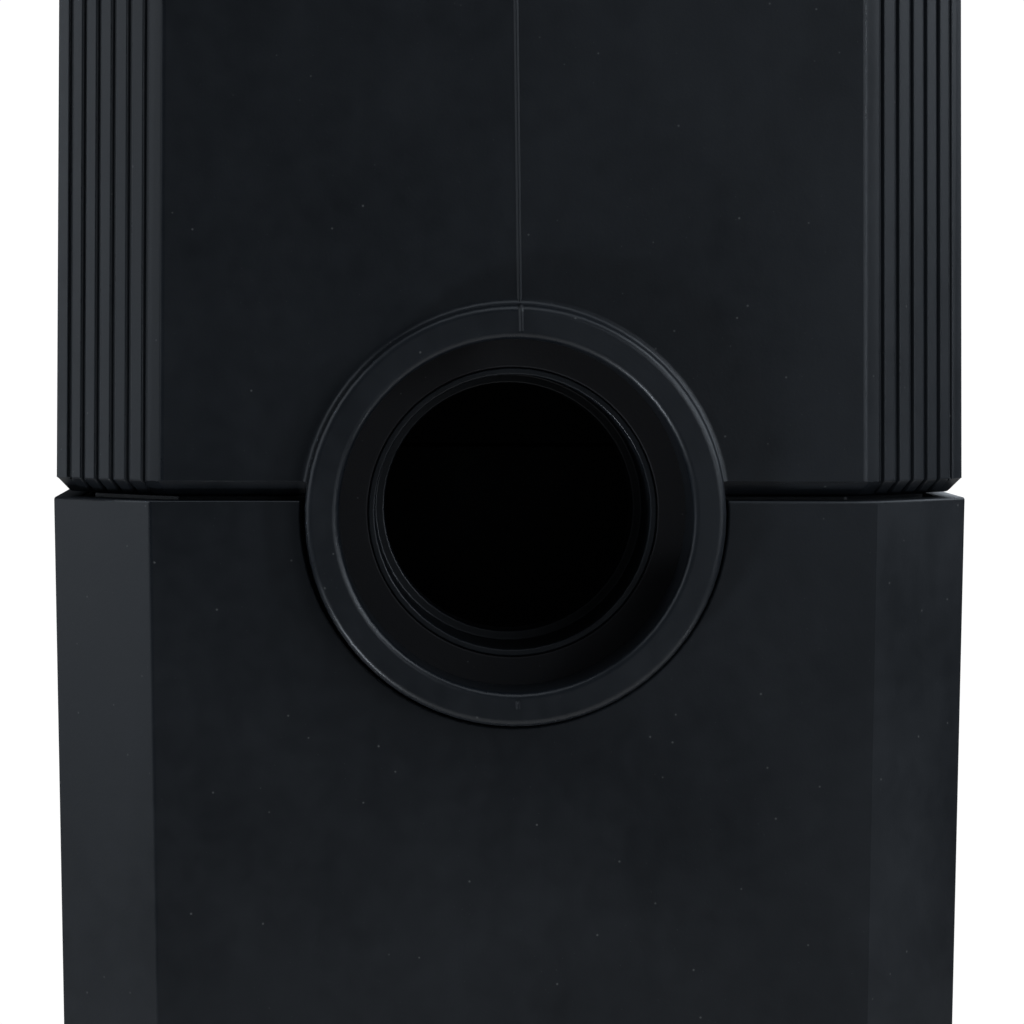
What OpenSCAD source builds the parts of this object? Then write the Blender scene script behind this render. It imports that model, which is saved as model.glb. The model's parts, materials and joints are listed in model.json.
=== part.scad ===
// Protein skimmer for a garden pond or a filter sump.
// A square tower in two housings: the pump stands in the lower one, and the upper one
// is the bubble chamber, with the outlet socket at the joint between them.
// The foam climbs through a neck in the deck into a clear cup.
// X runs left to right, the outlet socket faces -Y and Z is up from the floor.

/* [Lower housing] */
// Width over the open rim
lower_w = 133.5; // [130:0.5:138]
// How much narrower the housing is at its floor
lower_taper = 5.2; // [4:0.2:8]
// Corner chamfer at the rim
lower_corner = 14.6; // [12:0.2:18]
// Wall thickness
lower_wall = 4; // [3:0.5:4.5]
// Height of the open rim over the ground
rim_z = 172; // [170:1:176]

/* [Upper housing] */
// Width over the flat sides at the skirt
upper_w = 133; // [131:0.5:136]
// Narrowing from the skirt to the deck
upper_taper = 2.4; // [1:0.2:3]
// Corner chamfer that carries the grip ribs
upper_corner = 16; // [14:0.5:18]
// Wall thickness
upper_wall = 3.5; // [3:0.5:4]
// Height of the deck's seat over the ground
deck_z = 350; // [340:1:370]
// Grip ribs on each corner
rib_count = 7; // [5:1:8]
// Depth of the grooves between the ribs
rib_depth = 0.5; // [0.4:0.1:1]

/* [Outlet socket] */
// Bore that takes a 50 mm pipe
socket_d = 50.3; // [50.2:0.1:50.5]
// How far the pipe goes in
socket_depth = 15.5; // [14:0.5:20]
// Outside of the socket's ring
socket_od = 60; // [58:0.5:62]
// How far the ring stands proud of the upper housing
socket_reach = 5.8; // [4:0.2:8]

/* [Collection cup] */
// Width of the clear cup
cup_w = 104; // [100:1:106]
// Height of the clear cup
cup_h = 84; // [70:1:100]

/* [Hidden] */
$fn = 64;
eps = 0.01;
play = 0.3; // gap between pieces that move past each other

// Lower housing
foot_h = 6;
floor_t = 4;
floor_z = foot_h + floor_t;
base_bevel = 3;
notch_r = socket_od / 2 + 0.6;
pad_r = 9;
pad_xy = 42;
pad_sink = 1.2;
draft = atan(lower_taper / 2 / (rim_z - foot_h));
window_w = 64;
window_h = 44;
window_z = 44;
screen_flange = 2.4;
screen_slots = 11;
screen_pitch = 5;
gland_x = -42;
gland_z = 98;
gland_r = 5.5;
lead_r = 3.2; // the hole that a mains lead passes through

// Upper housing
port_z = rim_z - 2;
joint_gap = 0.7;
skirt_z = rim_z + joint_gap;
skirt_bevel = 2.05;
neck_bottom = port_z - 44;
neck_w = lower_width(neck_bottom) - 2 * lower_wall - 2;
neck_floor_t = 4;
neck_corner = inset(upper_corner, (upper_w - neck_w) / 2);
shoulder_z = skirt_z + 4;
inner_w = upper_w - upper_taper - 2 * upper_wall;
inner_corner = inset(upper_corner, upper_wall);
corner_bulge = 0.8;
groove_top = 1.1;
groove_floor = 0.7;
gasket_z = neck_bottom + 4.5;
gasket_h = 5;
gasket_w = lower_width(gasket_z) - 2 * lower_wall - 2 * play;
gasket_seat_w = neck_w - 3;
port_front = -upper_w / 2 - socket_reach;
port_back = -36;
throat_d = 40;
throat_len = 17;
outlet_d = 37;
lip_od = 42;
lip_h = 1.5;
seal_pocket_r = socket_d / 2 + 0.3;
screw_x = 57.6;
screw_y = 30;
screw_r = 1.55;
boss_r = 5.4;
boss_h = 22;

// Pump: the motor's axis is parallel to Y
pump_z = 43;
motor_w = 54;
motor_h = 50;
motor_front = 14;
motor_back = -48;
fin = 0.8;
can_r = 13;
can_back = -38;
lead_z = pump_z + 12;
volute_r = 30;
volute_inner_r = 26;
volute_len = 20;
cover_y = motor_front + volute_len;
cover_t = 3;
cover_screw_r = 28;
air_x = 46.5; // the air line stands at the rear right corner
air_y = 50;
suction_r = 11;
suction_inner_r = 9;
suction_end = air_y + 5;
hub_r = 5;
outlet_r = volute_len / 2 - 0.2;
outlet_bore_r = 7.8;
outlet_x = 13;
outlet_y = motor_front + volute_len / 2;
outlet_top = pump_z + 42;
riser_r = 12.4;
riser_bottom = pump_z + volute_r + 1;
riser_top = neck_bottom + 16;
shaft_r = 1.5;
bush_r = 3.2;
rear_bush_r = 5;
wheel_y = motor_front + 4;
wheel_r = 22;
cradle_back = motor_back - 4;
cradle_front = 8;
cradle_w = 80;
cradle_z = floor_z + 4;
cradle_top = pump_z - motor_h / 2 - fin;
cradle_screw_x = 34.5;
cradle_screw_y = [cradle_back + 8, cradle_front - 8];

// Air line
air_r = 3;
air_bore_r = 2;
funnel_r = 5.2;
funnel_top = 108;
funnel_h = 14;

// Outlet gate behind the socket, which stands open at rest
gate_y = port_back + 4.4;
gate_t = 2.4;
gate_w = 46;
gate_open = 42;
gate_bottom = port_z - 23 + gate_open;
gate_h = 46;
stem_w = 20;
spindle_y = -55.5;
spindle_r = 2.5;
spindle_bottom = port_z + 36;
nut_z = port_z + 44 + gate_open;
nut_h = 8;
plate_z = port_z + 34;

// Deck and foam neck
gasket_t = 0.8;
deck_t = 5;
deck_top = deck_z + deck_t;
collar_r = 46;
collar_inner_r = 41.5;
collar_top = deck_z + 26;
cone_r = 52;
cone_z = deck_z - 28;
knob_r = 8.5;
silencer_r = 8.6;
silencer_h = 44;
silencer_z = deck_top + 12;

// Collection cup
cup_z = collar_top + play;
cup_corner = 24;
cup_wall = 2.5;
cup_floor = 3;
spigot_r = 40.6;
spigot_wall = 2.6;
spigot_len = 20;
chimney_top_r = 30;
chimney_wall = 2.4;
chimney_h = 68;
cup_top = cup_z + cup_h;
rim_lip = 1.6;
lid_seal_t = 1.2;
seal_groove_z = cup_z - 13;
seal_groove_h = 3;
seal_groove_depth = 1.3;

// Drain tap, behind the cup
tap_z = cup_z + 9.5;
tap_y = cup_w / 2 + 11;
tap_r = 6;
plug_r = 3.6;
passage_r = 2.4;
barb_y = 69.8;
barb_r = 3.6;
barb_len = 16;

// ---- Shapes that repeat -------------------------------------------------------------

// The chamfer that stays parallel when a chamfered square is taken in by t
function inset(chamfer, t) = chamfer - t * (2 - sqrt(2));

// Width and chamfer of the tapering lower housing at height z
function lower_width(z) = lower_w - lower_taper * (rim_z - z) / (rim_z - foot_h);
function lower_chamfer(z) = lower_corner * lower_width(z) / lower_w;

// A square of width w with chamfered corners
module cut_square(w, chamfer) {
    h = w / 2;
    k = h - chamfer;
    polygon([[k, -h], [h, -k], [h, k], [k, h], [-k, h], [-h, k], [-h, -k], [-k, -h]]);
}

module cut_prism(w, chamfer, z0, z1) {
    translate([0, 0, z0]) linear_extrude(height = z1 - z0) cut_square(w, chamfer);
}

// A chamfered square that is w0 wide at z0 and w1 wide at z1
module tapered_prism(w0, chamfer0, z0, w1, z1) {
    translate([0, 0, z0])
        linear_extrude(height = z1 - z0, scale = w1 / w0)
            cut_square(w0, chamfer0);
}

module cut_frame(w, chamfer, wall, z0, z1) {
    difference() {
        cut_prism(w, chamfer, z0, z1);
        cut_prism(w - 2 * wall, inset(chamfer, wall), z0 - eps, z1 + eps);
    }
}

// The lower housing's tapering form, taken in by t
module lower_form(t, z0, z1) {
    w0 = lower_width(z0) - 2 * t;
    w1 = lower_width(z1) - 2 * t;
    tapered_prism(w0, inset(lower_chamfer(z0), t), z0, w1, z1);
}

// Turns children that stand on Z so that they run along +Y from y
module along_y(y, x = 0, z = 0) {
    translate([x, y, z]) rotate([-90, 0, 0]) children();
}

module tube(r, inner_r, h) {
    difference() {
        cylinder(r = r, h = h);
        translate([0, 0, -eps]) cylinder(r = inner_r, h = h + 2 * eps);
    }
}

module ring(r, thick) {
    rotate_extrude() translate([r, 0]) circle(r = thick / 2);
}

// A box with its four upright edges rounded
module round_box(x, y, z, r) {
    translate([-x / 2 + r, -y / 2, 0]) cube([x - 2 * r, y, z]);
    translate([-x / 2, -y / 2 + r, 0]) cube([x, y - 2 * r, z]);
    for (sx = [-1, 1], sy = [-1, 1])
        translate([sx * (x / 2 - r), sy * (y / 2 - r), 0]) cylinder(r = r, h = z);
}

// A pan-head screw that points down, with its head's underside at the origin
module screw(r, head_r, head_h, len) {
    difference() {
        union() {
            translate([0, 0, -len]) cylinder(r = r, h = len + eps);
            cylinder(r = head_r, h = head_h);
        }
        translate([0, 0, head_h / 2]) cylinder(r = head_r * 0.45, h = head_h, $fn = 6);
    }
}

// A knob with grip flutes round it, standing on the origin
module fluted_knob(r, h, flutes) {
    difference() {
        cylinder(r = r, h = h);
        for (i = [0 : flutes - 1])
            rotate(i * 360 / flutes)
                translate([r + 0.5, 0, -eps]) cylinder(r = 1.1, h = h + 2 * eps);
    }
}

// The corners of one ribbed chamfer, in the +X +Y quarter, from +X round to +Y.
// The chamfer bulges as a shallow arc, and rib_count - 1 grooves are cut into it.
function bulge(s, length) = corner_bulge * (1 - pow(2 * s / length - 1, 2));
function chamfer_point(s, drop, length) =
    let (out = bulge(s, length) - drop)
    [
        upper_w / 2 - s / sqrt(2) + out / sqrt(2),
        upper_w / 2 - upper_corner + s / sqrt(2) + out / sqrt(2)
    ];
function ribbed_corner() =
    let (length = upper_corner * sqrt(2), pitch = length / rib_count)
    concat(
        [chamfer_point(0, 0, length)],
        [for (i = [1 : rib_count - 1], p = [
            [-groove_top / 2, 0], [-groove_floor / 2, rib_depth],
            [groove_floor / 2, rib_depth], [groove_top / 2, 0]
        ]) chamfer_point(i * pitch + p[0], p[1], length)],
        [chamfer_point(length, 0, length)]
    );
function turn(p, a) = [p[0] * cos(a) - p[1] * sin(a), p[0] * sin(a) + p[1] * cos(a)];
module ribbed_square() {
    polygon([for (a = [0 : 90 : 270], p = ribbed_corner()) turn(p, a)]);
}

// ---- Lower housing and what stands in it --------------------------------------------

module lower_housing() color("#1b1e21") difference() {
    union() {
        lower_form(0, foot_h + base_bevel, rim_z);
        tapered_prism(
            lower_width(foot_h) - 2 * base_bevel, inset(lower_chamfer(foot_h), base_bevel), foot_h,
            lower_width(foot_h + base_bevel), foot_h + base_bevel + eps
        );
    }
    difference() {
        lower_form(lower_wall, floor_z, rim_z + 1);
        at_cradle_screws(floor_z - 1) cylinder(r = 4.5, h = 3);
    }
    along_y(-lower_w / 2 - 1, 0, port_z) cylinder(r = notch_r, h = 20);
    on_rear_wall(window_z)
        translate([-window_w / 2, -10, -window_h / 2]) cube([window_w, 20, window_h]);
    along_y(lower_w / 2 - 12, gland_x, gland_z) cylinder(r = gland_r, h = 20);
    at_pads(foot_h - 1) cylinder(r = pad_r, h = 1 + pad_sink);
    at_cradle_screws(foot_h + 1.5) cylinder(r = 1.6, h = 20);
}

module at_pads(z) {
    for (sx = [-1, 1], sy = [-1, 1]) translate([sx * pad_xy, sy * pad_xy, z]) children();
}

module at_cradle_screws(z) {
    for (sx = [-1, 1], y = cradle_screw_y) translate([sx * cradle_screw_x, y, z]) children();
}

// Children drawn about the origin, set on the leaning rear wall with +Y along its normal
module on_rear_wall(z) {
    translate([0, lower_width(z) / 2, z]) rotate([-draft, 0, 0]) children();
}

module foot_pads() color("#101112") at_pads(0) {
    cylinder(r1 = pad_r - 1.5, r2 = pad_r - 0.5, h = 1.5);
    translate([0, 0, 1.5 - eps]) cylinder(r = pad_r - 0.5, h = foot_h + pad_sink - 1.5 + eps);
}

// A slotted screen with a finger tab, that plugs into the window in the rear wall
module intake_screen() color("#1b1e21") on_rear_wall(window_z) {
    plug_w = window_w - 2 * play;
    plug_h = window_h - 2 * play;
    difference() {
        union() {
            translate([-window_w / 2 - 5, 0.2, -window_h / 2 - 5])
                cube([window_w + 10, screen_flange, window_h + 10]);
            translate([-plug_w / 2, -lower_wall - 1, -plug_h / 2])
                cube([plug_w, lower_wall + 2, plug_h]);
            translate([-9, screen_flange, window_h / 2 - 1]) cube([18, 4.5, 3]);
        }
        for (i = [0 : screen_slots - 1])
            translate([(i - (screen_slots - 1) / 2) * screen_pitch - 1.3, -10, -window_h / 2 + 5])
                cube([2.6, 20, window_h - 10]);
        translate([-window_w / 2 + 3, -lower_wall - 2, -window_h / 2 + 3])
            cube([window_w - 6, lower_wall + 0.5, window_h - 6]);
    }
}

// Rubber grommet for the pump's mains lead, with a flange on each side of the wall
module cable_gland() color("#101112")
    along_y(lower_width(gland_z) / 2 - lower_wall - 2.4, gland_x, gland_z) difference() {
        union() {
            cylinder(r = gland_r + 2, h = 2);
            cylinder(r = gland_r - 0.1, h = lower_wall + 6);
            translate([0, 0, lower_wall + 2.8]) cylinder(r = gland_r + 2, h = 2.4);
            translate([0, 0, lower_wall + 5.2])
                cylinder(r1 = gland_r + 2, r2 = gland_r - 0.6, h = 3);
        }
        translate([0, 0, -eps]) cylinder(r = lead_r, h = lower_wall + 12);
    }

module cradle_mounts() color("#101112") at_cradle_screws(floor_z + 2) tube(4.4, 1.9, 2);

module pump_cradle() color("#26292c") difference() {
    union() {
        translate([0, (cradle_back + cradle_front) / 2, cradle_z])
            round_box(cradle_w, cradle_front - cradle_back, cradle_top - cradle_z, 6);
        for (sx = [-1, 1])
            translate([sx * (motor_w / 2 + fin + 1.6) - 1.5, cradle_back + 16, cradle_top - 1])
                cube([3, 26, 14]);
    }
    at_cradle_screws(cradle_z - 1) cylinder(r = 1.9, h = 20);
}

module cradle_screws() color("silver")
    at_cradle_screws(cradle_top) screw(1.4, 2.6, 1.4, 9);

module motor_housing() color("#17191b") difference() {
    union() {
        along_y(motor_back, 0, pump_z)
            round_box(motor_w, motor_h, motor_front - motor_back, 9);
        along_y(motor_front - 4, 0, pump_z) cylinder(r = volute_r, h = 4);
        for (i = [0 : 4])
            along_y(motor_back + 6 + i * 9, 0, pump_z)
                round_box(motor_w + 2 * fin, motor_h + 2 * fin, 3, 9 + fin);
    }
    along_y(can_back, 0, pump_z) cylinder(r = can_r, h = 60);
    along_y(can_back - 5, 0, pump_z) cylinder(r = rear_bush_r, h = 6);
    along_y(motor_front - 2, 0, pump_z) tube(volute_r - 2.2, volute_r - 4.2, 3);
    along_y(motor_back - eps, 0, lead_z) cylinder(r = 4, h = 6);
}

module motor_gland() color("#101112")
    along_y(motor_back - 6, 0, lead_z) tube(3.95, lead_r - 0.2, 11.8);

module volute() color("#26292c") difference() {
    union() {
        along_y(motor_front, 0, pump_z) cylinder(r = volute_r, h = volute_len);
        translate([outlet_x, outlet_y, pump_z]) cylinder(r = outlet_r, h = outlet_top - pump_z);
    }
    along_y(motor_front + 2, 0, pump_z) cylinder(r = volute_inner_r, h = volute_len);
    along_y(motor_front - 1, 0, pump_z) cylinder(r = can_r, h = 5);
    translate([outlet_x, outlet_y, pump_z]) cylinder(r = outlet_bore_r, h = 60);
    at_cover_screws(motor_front + 6) cylinder(r = 1, h = volute_len);
}

// Children stand on Z at the pump's face, y, and are turned to run along +Y
module at_cover_screws(y) {
    for (a = [0 : 90 : 270])
        along_y(y, cover_screw_r * cos(a), pump_z + cover_screw_r * sin(a)) children();
}

module volute_seal() color("#0c0d0e")
    along_y(motor_front - 1, 0, pump_z) ring(volute_r - 3.2, 1.9);

// Closes the volute and holds the front bush on three spokes in the suction.
// A branch on its side draws in air.
module pump_cover() color("#26292c") difference() {
    union() {
        along_y(cover_y, 0, pump_z) cylinder(r = volute_r, h = cover_t);
        along_y(cover_y, 0, pump_z) cylinder(r = suction_r, h = suction_end - cover_y);
        translate([0, air_y, pump_z]) rotate([0, 90, 0]) cylinder(r = 4.2, h = 17);
    }
    difference() {
        along_y(cover_y - 1, 0, pump_z) cylinder(r = suction_inner_r, h = 40);
        along_y(cover_y, 0, pump_z) cylinder(r = hub_r, h = cover_t + 1);
        for (a = [0 : 120 : 240])
            along_y(cover_y, 0, pump_z)
                rotate(a) translate([0, -0.9, 0]) cube([suction_inner_r + 1, 1.8, cover_t]);
    }
    along_y(cover_y - 1, 0, pump_z) cylinder(r = bush_r, h = cover_t + 3);
    translate([0, air_y, pump_z]) rotate([0, 90, 0]) cylinder(r = air_r, h = 20);
    at_cover_screws(cover_y - 1) cylinder(r = 1.3, h = 10);
}

module cover_screws() color("silver")
    at_cover_screws(cover_y + cover_t) screw(0.95, 2, 1.2, 12);

module rear_bush() color("ivory")
    along_y(can_back - 5, 0, pump_z) tube(rear_bush_r, shaft_r + 0.05, 5);

module front_bush() color("ivory")
    along_y(cover_y, 0, pump_z) tube(bush_r, shaft_r + 0.05, cover_t + 1);

module rotor_shaft() color("whitesmoke")
    along_y(can_back - 4.5, 0, pump_z)
        cylinder(r = shaft_r, h = cover_y + cover_t + 0.6 - can_back + 4.5);

module rotor_magnet() color("#3a3d40")
    along_y(can_back + 7, 0, pump_z) tube(can_r - 1.4, shaft_r, motor_front - 4 - can_back - 7);

// A disc on a hub, with rings of fine pins that chop the air into the water
module needle_wheel() color("#e8e8e2") {
    along_y(motor_front - 4, 0, pump_z) tube(6, shaft_r, wheel_y - motor_front + 4.5);
    along_y(wheel_y, 0, pump_z) tube(wheel_r, shaft_r, 1.8);
    along_y(wheel_y + 1.5, 0, pump_z) tube(4.5, shaft_r, 10);
    for (row = [1 : 3], count = 8 + 4 * row, i = [0 : count - 1])
        along_y(wheel_y + 1.5, 0, pump_z)
            rotate(i * 360 / count + row * 7)
                translate([6 + 4.6 * row, 0, 0]) cylinder(r = 0.8, h = 10.5);
}

module pump_riser() color("#26292c")
    translate([outlet_x, outlet_y, riser_bottom]) tube(riser_r, outlet_r, riser_top - riser_bottom);

// A stiff elbow from the suction's branch to a funnel that the snorkel dips into
module air_pickup() color("#303437") {
    bend = 8;
    start = 11.5;
    run = air_x - bend;
    difference() {
        union() {
            pickup_path(air_r, start, run, bend, funnel_top - funnel_h);
            translate([air_x, air_y, funnel_top - funnel_h]) cylinder(r = funnel_r, h = funnel_h);
        }
        pickup_path(air_bore_r, start - 1, run, bend, funnel_top);
        translate([air_x, air_y, funnel_top - funnel_h + 2])
            cylinder(r = air_r + play, h = funnel_h);
    }
}

// A round bar of radius r that runs out along +X and turns up to height top
module pickup_path(r, start, run, bend, top) {
    translate([start, air_y, pump_z]) rotate([0, 90, 0]) cylinder(r = r, h = run - start);
    translate([run, air_y, pump_z + bend]) rotate([90, 0, 0])
        rotate_extrude(angle = 90, start = 270) translate([bend, 0]) circle(r = r);
    translate([air_x, air_y, pump_z + bend]) cylinder(r = r, h = top - pump_z - bend);
}

// ---- Upper housing and what it carries ----------------------------------------------

module upper_housing() color("#1b1e21") difference() {
    union() {
        translate([0, 0, skirt_z + skirt_bevel])
            linear_extrude(
                height = deck_z - skirt_z - skirt_bevel, scale = 1 - upper_taper / upper_w
            ) ribbed_square();
        tapered_prism(
            upper_w - 2 * skirt_bevel, inset(upper_corner, skirt_bevel), skirt_z,
            upper_w - 0.4, skirt_z + skirt_bevel + eps
        );
        cut_prism(neck_w, neck_corner, neck_bottom, skirt_z + 2);
        socket_tube();
    }
    difference() {
        cut_prism(inner_w, inner_corner, shoulder_z, deck_z + 1);
        socket_tube();
        at_deck_screws(deck_z - boss_h) difference() {
            cylinder(r = boss_r, h = boss_h + 2);
            translate([0, 0, 6]) cylinder(r = screw_r, h = boss_h);
        }
    }
    difference() {
        cut_prism(
            neck_w - 2 * upper_wall, inset(neck_corner, upper_wall),
            neck_bottom + neck_floor_t, shoulder_z + eps
        );
        socket_tube();
    }
    along_y(port_front - 1, 0, port_z) cylinder(r = socket_d / 2, h = socket_depth + 1 - lip_h);
    along_y(port_front + socket_depth - lip_h - eps, 0, port_z)
        tube(seal_pocket_r, lip_od / 2, lip_h + eps);
    along_y(port_front, 0, port_z) cylinder(r = throat_d / 2, h = socket_depth + throat_len);
    along_y(port_front, 0, port_z) cylinder(r = outlet_d / 2, h = 60);
    translate([outlet_x, outlet_y, neck_bottom - 1]) cylinder(r = riser_r + 3, h = 6);
    translate([air_x, air_y, neck_bottom - 1]) cylinder(r = air_r, h = 6);
    difference() {
        cut_prism(neck_w + 2, neck_corner, gasket_z, gasket_z + gasket_h);
        gasket_seat(1);
    }
}

module socket_tube() {
    along_y(port_front, 0, port_z) cylinder(r = socket_od / 2, h = port_back - port_front);
}

module at_deck_screws(z) {
    for (sx = [-1, 1], sy = [-1, 1]) translate([sx * screw_x, sy * screw_y, z]) children();
}

// The core that the joint's gasket is stretched round
module gasket_seat(over) {
    cut_prism(
        gasket_seat_w, inset(neck_corner, (neck_w - gasket_seat_w) / 2),
        gasket_z - over, gasket_z + gasket_h + over
    );
}

module housing_gasket() color("#0c0d0e") difference() {
    cut_prism(
        gasket_w, inset(neck_corner, (neck_w - gasket_w) / 2),
        gasket_z, gasket_z + gasket_h
    );
    gasket_seat(1);
}

module riser_seal() color("#0c0d0e")
    translate([outlet_x, outlet_y, neck_bottom]) tube(riser_r + 3, riser_r + play, neck_floor_t);

// A flat ring round the socket's lip, that the pipe's end lands on
module socket_seal() color("#0c0d0e")
    along_y(port_front + socket_depth - lip_h, 0, port_z)
        tube(seal_pocket_r - 0.05, lip_od / 2 + 0.05, lip_h);

// A pierced plate on a skirt that stands on the shoulder and spreads the bubbles
module bubble_plate() color("#2a2d30") {
    pitch = 12;
    plate_w = inner_w - 1;
    difference() {
        union() {
            cut_prism(plate_w, inner_corner, plate_z, plate_z + 3);
            cut_frame(plate_w, inner_corner, 2, shoulder_z, plate_z + 1);
        }
        for (i = [-4 : 4], j = [-1 : 4])
            if (abs(i) + j < 8)
                translate([i * pitch, j * pitch, plate_z - 1]) cylinder(r = 2.6, h = 6);
        along_y(-upper_w / 2, 0, port_z)
            cylinder(r = socket_od / 2 + 1, h = upper_w / 2 + port_back + 4);
        translate([-gate_w / 2 - 2, gate_y - 2, plate_z - 1]) cube([gate_w + 4, gate_t + 4, 6]);
        translate([0, spindle_y, plate_z - 1]) cylinder(r = spindle_r + 3, h = 6);
        translate([air_x, air_y, plate_z - 1]) cylinder(r = air_r + 1, h = 6);
        at_deck_screws(shoulder_z - 1) cylinder(r = boss_r + 1, h = plate_z + 5 - shoulder_z);
    }
}

// Two rails on the socket's inner end that guide the gate
module gate_frame() color("#26292c") difference() {
    slot_w = gate_w + 2 * play;
    translate([-31, port_back, port_z - 30]) cube([62, 9.6, 63]);
    along_y(port_back - 1, 0, port_z) cylinder(r = outlet_d / 2, h = 20);
    translate([-slot_w / 2, gate_y - play, port_z - 24]) cube([slot_w, gate_t + 2 * play, 80]);
    translate([-gate_w / 2 + 3, gate_y, port_z - 24]) cube([gate_w - 6, 20, 80]);
}

// A plate that slides over the socket's inner end, hung from a nut on the spindle
module outlet_gate() color("#2f3336") difference() {
    union() {
        translate([-gate_w / 2, gate_y, gate_bottom]) cube([gate_w, gate_t, gate_h]);
        translate([-stem_w / 2, gate_y, gate_bottom + gate_h - 1])
            cube([stem_w, gate_t, nut_z + nut_h - gate_bottom - gate_h + 1]);
        translate([-stem_w / 2, spindle_y - 4.5, nut_z])
            cube([stem_w, gate_y + 1 - spindle_y + 4.5, nut_h]);
    }
    translate([0, spindle_y, nut_z - 1]) cylinder(r = spindle_r + 0.05, h = nut_h + 2);
}

module gate_spindle() color("gainsboro") {
    translate([0, spindle_y, spindle_bottom])
        cylinder(r = spindle_r, h = deck_top + 8 - spindle_bottom);
    translate([0, spindle_y, deck_z - 8]) cylinder(r = spindle_r + 1.4, h = 3);
}

module spindle_bush() color("ivory") translate([0, spindle_y, deck_z - 4.8]) {
    tube(5, spindle_r + 0.05, deck_t + 4.8 + eps);
    translate([0, 0, deck_t + 4.8]) tube(6.5, spindle_r + 0.05, 1.4);
}

module level_knob() color("#1b1e21")
    translate([0, spindle_y, deck_top + 1.8]) difference() {
        union() {
            fluted_knob(knob_r, 11, 14);
            translate([0, 0, 11 - eps]) cylinder(r1 = knob_r - 1.6, r2 = knob_r - 2.6, h = 1.4);
        }
        translate([0, 0, -eps]) cylinder(r = spindle_r, h = 6.2 + 2 * eps);
    }

// The lid of the bubble chamber: a funnel below it and a collar above it for the cup
module top_deck() color("#1b1e21") difference() {
    deck_w = upper_w - upper_taper;
    union() {
        cut_prism(deck_w, upper_corner, deck_z + gasket_t, deck_top - 1.2 + eps);
        tapered_prism(deck_w, upper_corner, deck_top - 1.2, deck_w - 2.4, deck_top);
        cut_frame(inner_w - 1, inner_corner, 2.5, deck_z - 5, deck_z + 2);
        translate([0, 0, deck_z]) cylinder(r = collar_r, h = collar_top - deck_z);
        translate([0, 0, deck_z + 2]) cylinder(r = collar_r + 1.5, h = deck_t - 1);
        translate([0, 0, collar_top - 5]) cylinder(r = collar_r + 1.5, h = 5);
        translate([0, 0, cone_z])
            cylinder(r1 = cone_r, r2 = collar_r - 1.5, h = deck_z - cone_z + 1);
    }
    translate([0, 0, cone_z - eps])
        cylinder(r1 = cone_r - 2.5, r2 = collar_inner_r, h = deck_z - 2 - cone_z);
    translate([0, 0, deck_z - 2.1]) cylinder(r = collar_inner_r, h = 60);
    translate([0, spindle_y, deck_z - 10]) cylinder(r = 5, h = 20);
    translate([air_x, air_y, deck_z - 10]) cylinder(r = air_r, h = 20);
    at_deck_screws(deck_z - 10) {
        cylinder(r = screw_r + 0.6, h = 20);
        cylinder(r = boss_r + 1, h = 10.4);
    }
}

module deck_gasket() color("#0c0d0e")
    cut_frame(
        upper_w - upper_taper - 1.4, inset(upper_corner, 0.7), 2.6,
        deck_z, deck_z + gasket_t
    );

module deck_screws() color("silver") at_deck_screws(deck_top) screw(screw_r, 3.6, 2.2, 16);

module air_snorkel() color("#303437")
    translate([air_x, air_y, funnel_top - 8])
        tube(air_r, air_bore_r, deck_top + 4 - funnel_top + 8);

// A rotary valve: the knob's half disc covers the hole beside its stem
module air_valve_body() color("#1b1e21")
    translate([air_x, air_y, deck_top]) difference() {
        union() {
            cylinder(r = 9.2, h = 2.5);
            cylinder(r = 7.4, h = 12);
            translate([0, 0, 8]) cylinder(r = silencer_r, h = 4);
        }
        translate([0, 0, -eps]) cylinder(r = air_r, h = 4 + eps);
        translate([0, 0, 3.9]) cylinder(r = 5.4, h = 2.6);
        translate([3.4, 0, 6]) cylinder(r = 1.5, h = 6);
        translate([0, 0, 8.5]) cylinder(r = 6.2, h = 20);
    }

module silencer_shell() color("#1b1e21")
    translate([air_x, air_y, silencer_z]) difference() {
        union() {
            cylinder(r = silencer_r, h = silencer_h);
            translate([0, 0, silencer_h - 4]) cylinder(r = silencer_r + 0.6, h = 4);
        }
        translate([0, 0, -eps]) cylinder(r = silencer_r - 1.6, h = silencer_h - 2.5);
        translate([0, 0, silencer_h - 4]) cylinder(r = 2.55, h = 6);
        for (i = [0 : 9])
            rotate(i * 36 + 18) translate([5, -0.8, 6]) cube([10, 1.6, silencer_h - 16]);
    }

module silencer_foam() color("#3c4043")
    translate([air_x, air_y, silencer_z + 1]) tube(silencer_r - 1.9, 3, silencer_h - 6);

module air_knob() color("#1b1e21")
    translate([air_x, air_y, deck_top + 8.8]) {
        difference() {
            cylinder(r = 5.9, h = 1.8);
            translate([-10, 0, -1]) cube([20, 20, 4]);
        }
        cylinder(r = 2.5, h = silencer_h + 4);
        translate([0, 0, silencer_h + 3.6]) fluted_knob(8.2, 10, 12);
    }

// ---- Collection cup -----------------------------------------------------------------

// The cup's outline, grown by grow on every side
module cup_outline(grow, z0, z1) {
    cut_prism(cup_w + 2 * grow, inset(cup_corner, -grow), z0, z1);
}

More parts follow.
